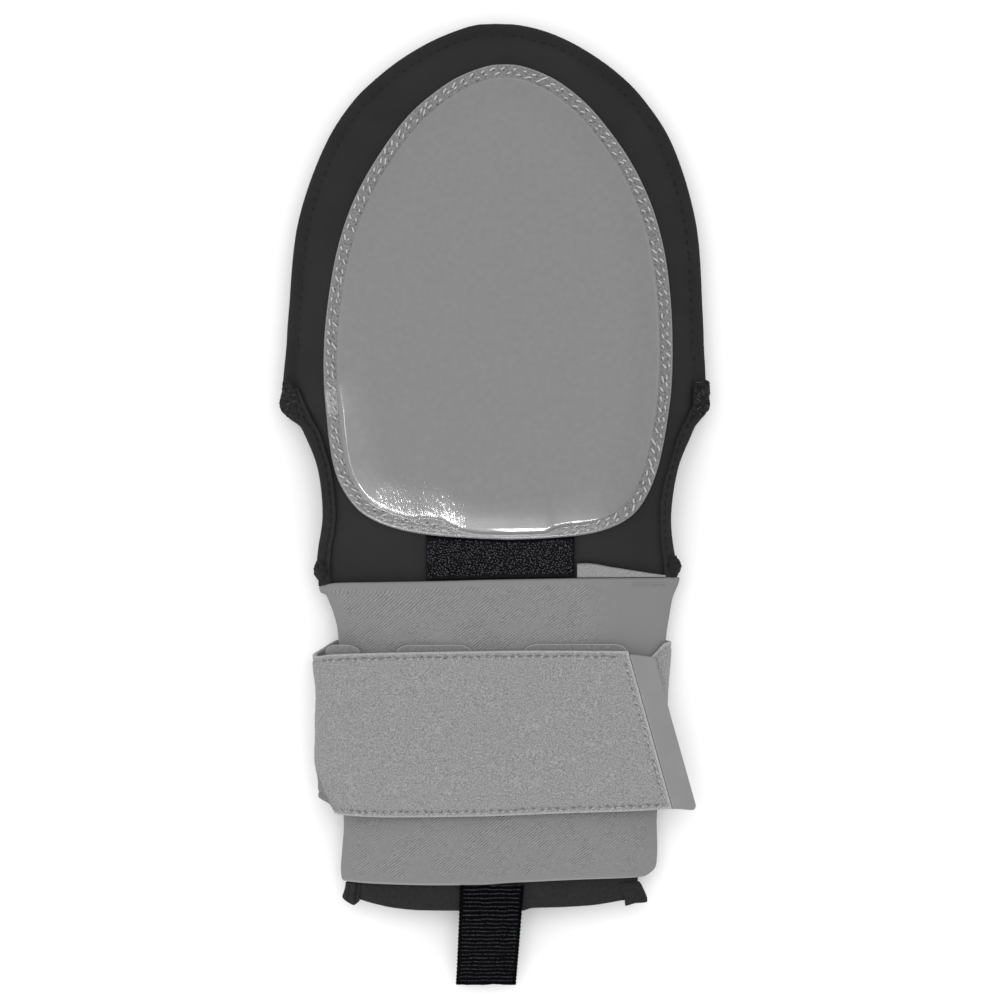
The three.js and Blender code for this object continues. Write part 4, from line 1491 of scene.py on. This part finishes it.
def wristband():
    angles, places = ring_angles(*BAND_RING, top_step=0.5, low_step=0.75)
    wall = BAND_WALL / 2
    length = BAND_TOP - BAND_LOW
    edge = edge_places(wall)
    hidden_from, hidden_to = UNDER_STRAP
    fine_above, fine_below = evenly(wall, hidden_from, 0.4), evenly(hidden_to, length - wall, 0.4)
    coarse = evenly(hidden_from, hidden_to, 2)
    down = np.concatenate([edge, fine_above[1:], coarse[1:], fine_below[1:], (length - edge)[::-1][1:]])
    ys = BAND_TOP - down
    plain = band_tube.points(angles, ys)
    x, y = plain[..., 0], plain[..., 1]
    side = np.minimum(x - band_left(ys), band_right(ys) - x)
    ends = np.minimum(down, length - down)[None]
    faded = 0.9 * smooth(x, 26, 46) * smooth(y, -70, -55)
    clear = smooth(side, 0.5, 5) * smooth(ends, 1.6, 2.4) * (1 - faded)
    weave = columns(places[:, None], ys[None], clear)
    # paler along the lower edge, a little darker where the ribs fade towards the upper right
    relief = PLAIN + 0.5 * smooth(down - length, -0.7, -0.3)[None] - 0.1 * faded
    slack = 0.18 * ripples(x, y, size=26, seed=61) * smooth(ends, 0, 8)
    outer = band_tube.points(angles, ys, wall * (1 - rounding(ends, wall)), slack)
    few = edged(length, wall, 6, edge_steps=4)
    few_ends = np.minimum(few, length - few)[None]
    inner = band_tube.points(angles, BAND_TOP - few, wall * (1 + rounding(few_ends, wall)))
    for grid in (outer, inner):
        grid[..., 1] += band_shift(grid[..., 0], grid[..., 1])
    band = closed("elastic", outer, inner, ELASTIC, ring=True, relief=relief, weave=weave)
    declare(band, "wristband", length, BAND_ROUND, "stretched", "back_panel", "palm_panel")


def band_stitches():
    """The fuzzy end of the seam that holds the facing, just under the elastic's upper edge."""
    xs = evenly(*BAND_SEAM, 0.4)
    paths = []
    for row, drop in enumerate(BAND_SEAM_ROWS):
        ys = BAND_TOP + band_top_drift(xs) - drop
        line, up = columns(xs, ys, band_tube.top(xs, ys)), surface_normals(band_tube.top, xs, ys)
        paths.append(stitches(line, up, 1.5, 1.3, 0.12, slant=0.7, seed=71 + row, points=6))
    tubes("elastic_stitches", np.concatenate(paths), 0.17, SEAM_THREAD, sides=5)


def hem():
    angles, _ = ring_angles(*HEM_RING, top_step=0.8, low_step=1.2)
    tube = Tube(HEM)
    wall = HEM_WALL / 2
    top, low = HEM["y"][0], HEM["y"][-1]
    length = top - low
    down = edged(length, wall, 0.5)
    ys = top - down
    ends = np.minimum(down, length - down)[None]
    back_drift, palm_drift = follow(HEM_EDGE, "x", "back"), follow(HEM_EDGE, "x", "palm")

    def shaped(inset, proud):
        grid = tube.points(angles, ys, inset, proud)
        share = clip01((BAND_LOW - grid[..., 1]) / (BAND_LOW - low))
        over = smooth(np.sin(angles), -0.3, 0.3)[:, None]
        drift = mix(palm_drift(grid[..., 0]), back_drift(grid[..., 0]), over)
        grid[..., 1] += drift * share**1.5
        return grid

    plain = tube.points(angles, ys)
    crease = -0.2 * bell(down, length - 1.9, width=0.5)[None]
    soft = 0.14 * ripples(plain[..., 0], plain[..., 1], size=11, seed=81) * smooth(ends, 0, 2)
    outer = shaped(wall * (1 - rounding(ends, HEM_EDGE_RADIUS)), soft + crease)
    inner = shaped(wall * (1 + rounding(ends, HEM_EDGE_RADIUS)), 0)
    piece = closed("hem", outer, inner, BINDING, ring=True, relief=np.full(outer.shape[:2], PLAIN))
    declare(piece, "wrist_hem", length, HEM_ROUND, "gathered", "wristband")
    for side in ("left", "right"):
        hem_seam(tube, side)


def hem_seam(tube, side):
    """The folded side seam that lies over the hem's end, with its flared corner."""
    flap = HEM_FLAPS[side]
    turns = np.linspace(flap["turn"][0], flap["turn"][-1], 36)
    angles = turns if side == "right" else math.pi - turns
    share = np.linspace(0, 1, 26)
    ys = mix(BAND_LOW - 0.1, follow(flap, "turn", "low")(turns)[:, None], share)
    flare = 0.1 + 0.6 * share**3 * bell(turns, 0.05, width=0.3)[:, None]
    groove = bell(turns, turns[0] - 0.08, width=0.025) + 0.5 * bell(turns, turns[0] - 0.28, width=0.04)
    folds = 0.2 - 0.25 * groove[:, None] * (1 - 0.2 * share)
    # The relief makes the flap a little paler and paints shade in its grooves
    relief = np.broadcast_to(0.58 - 0.5 * groove[:, None], ys.shape)
    grid = tube.points(angles, ys, proud=flare + folds)
    piece = slab(f"hem_seam_{side}", grid, 0.3, BINDING, relief=relief)
    declare(piece, None, *HEM_SEAM_FLAT, "folded", "hem")


# Strap, its tab and the patches under it

strap_x, strap_z, strap_top, strap_bottom, strap_skew = (
    follow(STRAP, "step", column) for column in ("x", "z", "top", "bottom", "skew")
)
strap_sinks_left, strap_sinks_right = follow(STRAP_SINKS, "y", "left"), follow(STRAP_SINKS, "y", "right")
END_SLANT = math.atan2(STRAP["skew"][STRAP_END], STRAP["top"][STRAP_END] - STRAP["bottom"][STRAP_END])


def strap_drift(step, y):
    """How far the strap's two folds sink inwards along their length."""
    right = strap_sinks_right(y) * bell(step, RIGHT_FOLD, FOLD_WIDTH)
    return right + strap_sinks_left(y) * bell(step, LEFT_FOLD, FOLD_WIDTH)


def on_strap(step, y, lift=0.0, skewed=True):
    """A place on the strap's route, at a height y across it and a distance out from its middle."""
    probe = 0.02
    along_x = strap_x(step + probe) - strap_x(step - probe)
    along_z = strap_z(step + probe) - strap_z(step - probe)
    length = np.hypot(along_x, along_z)
    share = (strap_top(step) - y) / (strap_top(step) - strap_bottom(step))
    out = lift - strap_drift(step, y)
    x = strap_x(step) + skewed * strap_skew(step) * share - along_z / length * out
    z = strap_z(step) + along_x / length * out
    return columns(x, y, z)


def steps_along(first, last, spacing, radius=None):
    """Counts along the strap's route at even spaces, closer together in the rounded ends if it has them."""
    dense = np.linspace(first, last, 4000)
    places = arc_places(columns(strap_x(dense), strap_z(dense)))
    length = places[-1]
    at = evenly(0, length, spacing) if radius is None else edged(length, radius, spacing)
    return np.interp(at, places, dense), length


def step_at(x):
    """The count at which the front run reaches a given x."""
    dense = np.linspace(FRONT_RUN_START, TAB_END, 4000)
    return np.interp(x, strap_x(dense), dense)


def corner(distance, width, height=None):
    """How far an elliptical corner draws the edge in, at a distance from the end."""
    height = width if height is None else height
    short = clip01(1 - distance / width)
    return height * (1 - np.sqrt(1 - short**2))


def beside_fold(x, y):
    """How far a place on the front lies to the right of the fold across the strap's lower left corner."""
    start, end = (np.array(place) for place in CORNER_FOLD)
    way = unit(end - start)
    return (x - start[0]) * -way[1] + (y - start[1]) * way[0]


def strap():
    steps, length = steps_along(0, STRAP_END, 1, STRAP_EDGE)
    wall = STRAP_WALL / 2
    near = np.concatenate([edge_places(wall), evenly(wall, STRAP_BORDER, 0.4)[1:]])
    middle = evenly(STRAP_BORDER, STRAP_WIDTH - STRAP_BORDER, 1.1)[1:-1]
    shares = np.concatenate([near, middle, (STRAP_WIDTH - near)[::-1]]) / STRAP_WIDTH
    steps = steps[:, None]
    ys = mix(strap_bottom(steps), strap_top(steps), shares)
    grid = on_strap(steps, ys)
    x, y = grid[..., 0], grid[..., 1]
    from_edge = np.minimum(ys - strap_bottom(steps), strap_top(steps) - ys)
    from_end = (on_strap(np.array([[STRAP_END]]), ys)[..., 0] - x) * math.cos(END_SLANT)
    from_end = np.where(steps > FRONT_RUN_START, from_end, np.inf)
    inside = np.minimum(from_edge, from_end)
    channel = -0.3 * bell(inside, STRAP_ROW, width=0.55) - 0.1 * smooth(STRAP_ROW - inside, 0, 1)
    coarse, fine = ripples(x, y, size=24, seed=91), ripples(x, y, size=5, seed=92)
    soft = (0.2 * coarse + 0.07 * fine) * smooth(inside, 2.5, 9)
    on_front = steps > FRONT_RUN_START - 1
    below = on_front * (1 - smooth(beside_fold(x, y), -0.4, 0.3)) * (y < CORNER_TOP)
    pale_rim = 1 - smooth(inside, 0.3, 0.8)
    # The relief makes the edges paler, paints shade past the corner fold and paints a little shade along the
    # sewn channel
    relief = PLAIN + 0.33 * pale_rim * (1 - below) - 0.2 * below - 0.05 * bell(inside, STRAP_ROW, width=0.5)
    radius = np.where(from_end < 1, STRAP_END_EDGE, STRAP_EDGE)
    front = channel + soft - CORNER_DROP * below
    piece = slab("wrap_strap", grid, wall, LOOP, radius=radius, front=front, relief=relief)
    declare(piece, "strap", STRAP_WIDTH, length, "folded", "wristband")


def strap_line(edge, inset, last, lift):
    """A line along the strap at an inset from its top or bottom edge, and its outward normals."""
    steps, _ = steps_along(ROW_START[edge], last, 0.5)
    ys = strap_top(steps) - inset if edge == "top" else strap_bottom(steps) + inset
    line = on_strap(steps, ys, lift)
    return line, on_strap(steps, ys, lift + 1) - line


def strap_end_line(inset, lift):
    """A line beside the slanted end, at an inset from it."""
    ys = evenly(strap_top(STRAP_END) - STRAP_ROW, strap_bottom(STRAP_END) + STRAP_ROW, 0.5)
    end = on_strap(np.full(len(ys), float(STRAP_END)), ys, lift)
    along = inset / math.cos(END_SLANT)
    line = on_strap(np.full(len(ys), float(step_at(strap_x(STRAP_END) - along - 0.2))), ys, lift)
    line[:, 0] = end[:, 0] - along
    return line, np.tile([0.0, 0.0, 1.0], (len(ys), 1))


def strap_row(edge, inset, **stitch):
    """Stitches at an inset from the strap's top or bottom edge, or from its slanted end."""
    lift = STRAP_WALL / 2 - 0.2
    last = step_at(strap_x(STRAP_END) - STRAP_ROW)
    line = strap_end_line(inset, lift) if edge == "end" else strap_line(edge, inset, last, lift)
    return stitches(*line, STRAP_PITCH, **stitch)


def strap_stitches():
    """Dark thread ends and the pale stitches beside them, round the strap's front run."""
    dark = [
        strap_row("top", STRAP_ROW, length=1.4, lift=0.08, slant=0.2, seed=101, uneven=0.8),
        strap_row("bottom", STRAP_ROW, length=1.1, lift=0.08, slant=-0.3, seed=102, uneven=1),
        strap_row("end", STRAP_ROW + 0.4, length=0.8, lift=0.04, slant=0.4, seed=104, start=1.6, uneven=1),
    ]
    pale = [
        strap_row("end", STRAP_ROW - 0.1, length=1.5, lift=0.2, slant=0.45, seed=105, uneven=0.8),
        strap_row("bottom", STRAP_ROW - 0.5, length=0.9, lift=0.1, slant=0.3, seed=106, start=1.8, uneven=1),
        strap_row("top", STRAP_ROW + 0.5, length=0.8, lift=0.08, slant=0.3, seed=107, start=1.9, uneven=1),
    ]
    tubes("strap_stitches_dark", np.concatenate(dark), 0.22, STRAP_THREAD)
    tubes("strap_stitches_pale", np.concatenate(pale), 0.2, PALE_THREAD)


def strap_tab():
    steps, length = steps_along(STRAP_END + TAB_CLEARANCE, TAB_END, 0.5, TAB_EDGE)
    from_end = length * (1 - (steps - steps[0]) / (steps[-1] - steps[0]))
    top = strap_top(steps) - TAB_INSET - corner(from_end, TAB_CORNERS["top"])
    bottom = strap_bottom(steps) + corner(from_end, TAB_CORNERS["bottom"])
    shares = edged(TAB_WIDTH, TAB_WALL / 2, 1) / TAB_WIDTH
    ys = mix(bottom[:, None], top[:, None], shares)
    grid = on_strap(steps[:, None], ys)
    soft = 0.06 * ripples(grid[..., 0], grid[..., 1], size=14, seed=111)
    piece = slab("end_tab", grid, TAB_WALL / 2, TAB, radius=TAB_EDGE, front=soft)
    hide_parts("strap_tab")


def hook_patches():
    middle = -STRAP_WALL / 2 - GAP - PATCH_WALL / 2
    for name, (left, right, top, bottom) in HOOK_PATCHES.items():
        width, length = right - left, top - bottom
        steps = np.array([step_at(x) for x in left + edged(width, 1.5, 0.8, edge_steps=7)])
        places = arc_places(columns(strap_x(steps), strap_z(steps)))
        inset = corner(np.minimum(places, places[-1] - places), *HOOK_CORNER)
        shares = edged(length, 0.5, 1.2) / length
        ys = mix((bottom + inset)[:, None], (top - inset)[:, None], shares)
        grid = on_strap(steps[:, None], ys, middle, skewed=False)
        piece = slab(f"hook_{name}", grid, PATCH_WALL / 2, HOOK, radius=0.35)
        declare(piece, f"hook_patch_{name}", width, length, "laid", "wristband")
        rim = on_strap(steps, top - inset, middle + PATCH_WALL / 2 - 0.12, skewed=False)
        tubes(f"hook_{name}_rim", [resampled(rim, 0.6)], 0.17, RIM_THREAD)


# Patches between the pad and the wristband


def patch_grid(xs, top, bottom):
    """Middle points of a patch that lies on the back panel."""
    rows = np.linspace(0, 1, round((top - bottom).max() / PATCH_STEP) + 1)
    x, ys = xs[:, None], mix(bottom[:, None], top[:, None], rows)
    return columns(x, ys, back_top(x, ys) + SOFT_GAP + PATCH_WALL / 2)


def pad_lower_edge(x):
    lower = PAD_EDGE.points[PAD_EDGE.points[:, 1] < 0]
    lower = lower[np.argsort(lower[:, 0])]
    return np.interp(x, lower[:, 0], lower[:, 1])


def loop_patch():
    xs = LOOP_LEFT + edged(LOOP_RIGHT - LOOP_LEFT, 0.5, 1)
    top = pad_lower_edge(xs) - GAP
    bottom = BAND_TOP + band_top_drift(xs) + 0.35
    piece = slab("pile_patch", patch_grid(xs, top, bottom), PATCH_WALL / 2, PILE)
    declare(piece, "loop_patch", LOOP_RIGHT - LOOP_LEFT, LOOP_LENGTH, "laid", "back_panel")


def pile_loops():
    """Small upright loops in wavy rows over the patch."""
    rng = np.random.default_rng(121)
    x, row = np.meshgrid(np.arange(LOOP_LEFT + 0.7, LOOP_RIGHT - 0.5, PILE_PITCH), np.arange(PILE_ROWS))
    y = PILE_TOP - PILE_ROW_STEP * row + 0.3 * np.sin(2 * math.pi * x / 6.5 + row * 0.4)
    x = x + PILE_SHIFT * (row % 2) + rng.normal(0, 0.14, x.shape)
    y = y + rng.normal(0, 0.12, x.shape)
    low = BAND_TOP + band_top_drift(x) + 1.7
    keep = (y < pad_lower_edge(x) - GAP - 0.6) & (y > low) & (x > LOOP_LEFT + 0.5) & (x < LOOP_RIGHT - 0.5)
    x, y = x[keep], y[keep]
    ground = back_top(x, y) + SOFT_GAP + PATCH_WALL
    turn = rng.uniform(0, 2 * math.pi, len(x))
    lean = rng.normal(0, 0.25, (len(x), 2))
    height = rng.uniform(0.3, 0.7, len(x))
    t = np.linspace(0, math.pi, 7)
    reach = -0.34 * np.cos(t)
    rise = height[:, None] * np.sin(t) ** 0.8
    paths = columns(
        x[:, None] + reach * np.cos(turn)[:, None] + lean[:, :1] * rise,
        y[:, None] + reach * np.sin(turn)[:, None] + lean[:, 1:] * rise,
        ground[:, None] - 0.1 + rise,
    )
    aside = columns(-np.sin(turn), np.cos(turn), 0.0)[:, None]
    tubes("pile_loops", paths, 0.18, PILE_YARN, sides=5, up=aside)


def facing():
    left, right = FACING["x"][0], FACING["x"][-1]
    xs = left + edged(right - left, 0.5, 1)
    top = follow(FACING, "x", "top")(xs)
    bottom = np.minimum(BAND_TOP + band_top_drift(xs) + 0.1, top - 0.4)
    grid = patch_grid(xs, top, bottom)
    meeting = 0.5 * (1 - smooth(grid[..., 1] - bottom[:, None], 0.2, 2))
    piece = slab("facing", grid, PATCH_WALL / 2, FACING_CLOTH, radius=0.2, back=meeting, front=meeting)
    declare(piece, "facing_strip", FACING_LENGTH, right - left, "laid", "back_panel")


def pull_tab():
    """Webbing with thick cross ribs, knobbly at its cut end."""
    left, right, height = (follow(PULL_TAB, "y", column) for column in ("left", "right", "z"))
    dense = np.linspace(PULL_TAB["y"][0], PULL_TAB["y"][-1], 400)
    places = arc_places(columns(dense, height(dense)))
    length = places[-1]
    half = WEBBING_WALL / 2
    down = edged(length, half, 0.24)
    across = edged(WEBBING_WIDTH, half, 0.55) / WEBBING_WIDTH
    ys = np.interp(down, places, dense)[:, None]
    x = mix(left(ys), right(ys), across)
    from_side = np.minimum(across, 1 - across) * WEBBING_WIDTH
    from_end = (length - down)[:, None]
    phase = 2 * math.pi * (down[:, None] + 0.1 * ripples(x, ys, size=6, seed=131)) / WEBBING_PITCH
    woven = smooth(from_side, 0.9, 1.5) * smooth(from_end, 1.3, 2.2)
    crest = np.exp(-2.2 * (1 - np.cos(phase)))
    knobs = 0.16 * ripples(x, ys, size=1.6, seed=132) * (1 - smooth(from_end, 1, 1.8))
    relief = mix(0.12, crest, woven)
    lift = 0.34 * (crest - 0.35) * woven + knobs
    x = x + 0.12 * np.cos(phase) * np.sign(across - 0.5) * (from_side < 0.6)
    y = ys - 0.1 * ripples(x, 0, size=7, seed=133) * (1 - smooth(from_end, 0, 3))
    grid = columns(x, y, height(ys))
    piece = slab("webbing_tab", grid, half, WEBBING, front=lift, back=lift, relief=relief)
    declare(piece, "pull_tab", WEBBING_WIDTH, length, "laid", "wrist_hem")


panel("back_shell", "back_panel", (sewn_back, back_inside), step=0.9)
panel("palm_shell", "palm_panel", (sewn_palm, palm_inside), step=1.3)
seam_stitches()
guard_pad()
pad_stitches()
thumb_bindings()
bar_tacks()
wristband()
band_stitches()
hem()
strap()
strap_stitches()
strap_tab()
hook_patches()
loop_patch()
pile_loops()
facing()
pull_tab()


# Stage


def floor():
    mesh = bpy.data.meshes.new("floor")
    corners = [(x * FLOOR_REACH, y * FLOOR_REACH, 0) for x, y in ((-1, -1), (1, -1), (1, 1), (-1, 1))]
    mesh.from_pydata(corners, [], [(0, 1, 2, 3)])
    mesh.materials.append(floor_material())
    plane = bpy.data.objects.new("floor", mesh)
    bpy.context.scene.collection.objects.link(plane)


def camera():
    data = bpy.data.cameras.new("camera")
    data.lens = LENS
    data.sensor_width = SENSOR
    made = bpy.data.objects.new("camera", data)
    height = FOCUS_PLANE + FIELD * LENS / SENSOR
    made.location = (VIEW_CENTRE[0] * MM, VIEW_CENTRE[1] * MM, height * MM)
    bpy.context.scene.collection.objects.link(made)
    bpy.context.scene.camera = made


def soft_light(name, azimuth, elevation, width, height, brightness, distance, mirrored):
    """A rectangular light that faces the mitt; azimuth is from +X towards +Y, brightness its radiance.

    It shows either in glossy reflections, if mirrored, or everywhere else.
    """
    data = bpy.data.lights.new(name, "AREA")
    data.shape = "RECTANGLE"
    data.size, data.size_y = width, height
    data.energy = brightness * math.pi * width * height
    lamp = bpy.data.objects.new(name, data)
    a, e = math.radians(azimuth), math.radians(elevation)
    towards = Vector((math.cos(a) * math.cos(e), math.sin(a) * math.cos(e), math.sin(e)))
    lamp.location = towards * distance
    lamp.rotation_mode = "QUATERNION"
    lamp.rotation_quaternion = towards.to_track_quat("Z", "Y")
    lamp.visible_camera = False
    lamp.visible_diffuse = not mirrored
    lamp.visible_glossy = mirrored
    bpy.context.scene.collection.objects.link(lamp)


def studio():
    world = bpy.data.worlds.new("studio")
    world.use_nodes = True
    background = world.node_tree.nodes["Background"]
    background.inputs["Color"].default_value = (1, 1, 1, 1)
    background.inputs["Strength"].default_value = WORLD_BRIGHTNESS
    bpy.context.scene.world = world
    soft_light("overhead", *OVERHEAD_LIGHT, distance=OVERHEAD_DISTANCE, mirrored=False)
    for number, light in enumerate(STRIP_LIGHTS):
        soft_light(f"strip_{number}", *light, distance=STRIP_DISTANCE, mirrored=True)
    bpy.context.scene.view_settings.view_transform = "Standard"


floor()
camera()
studio()
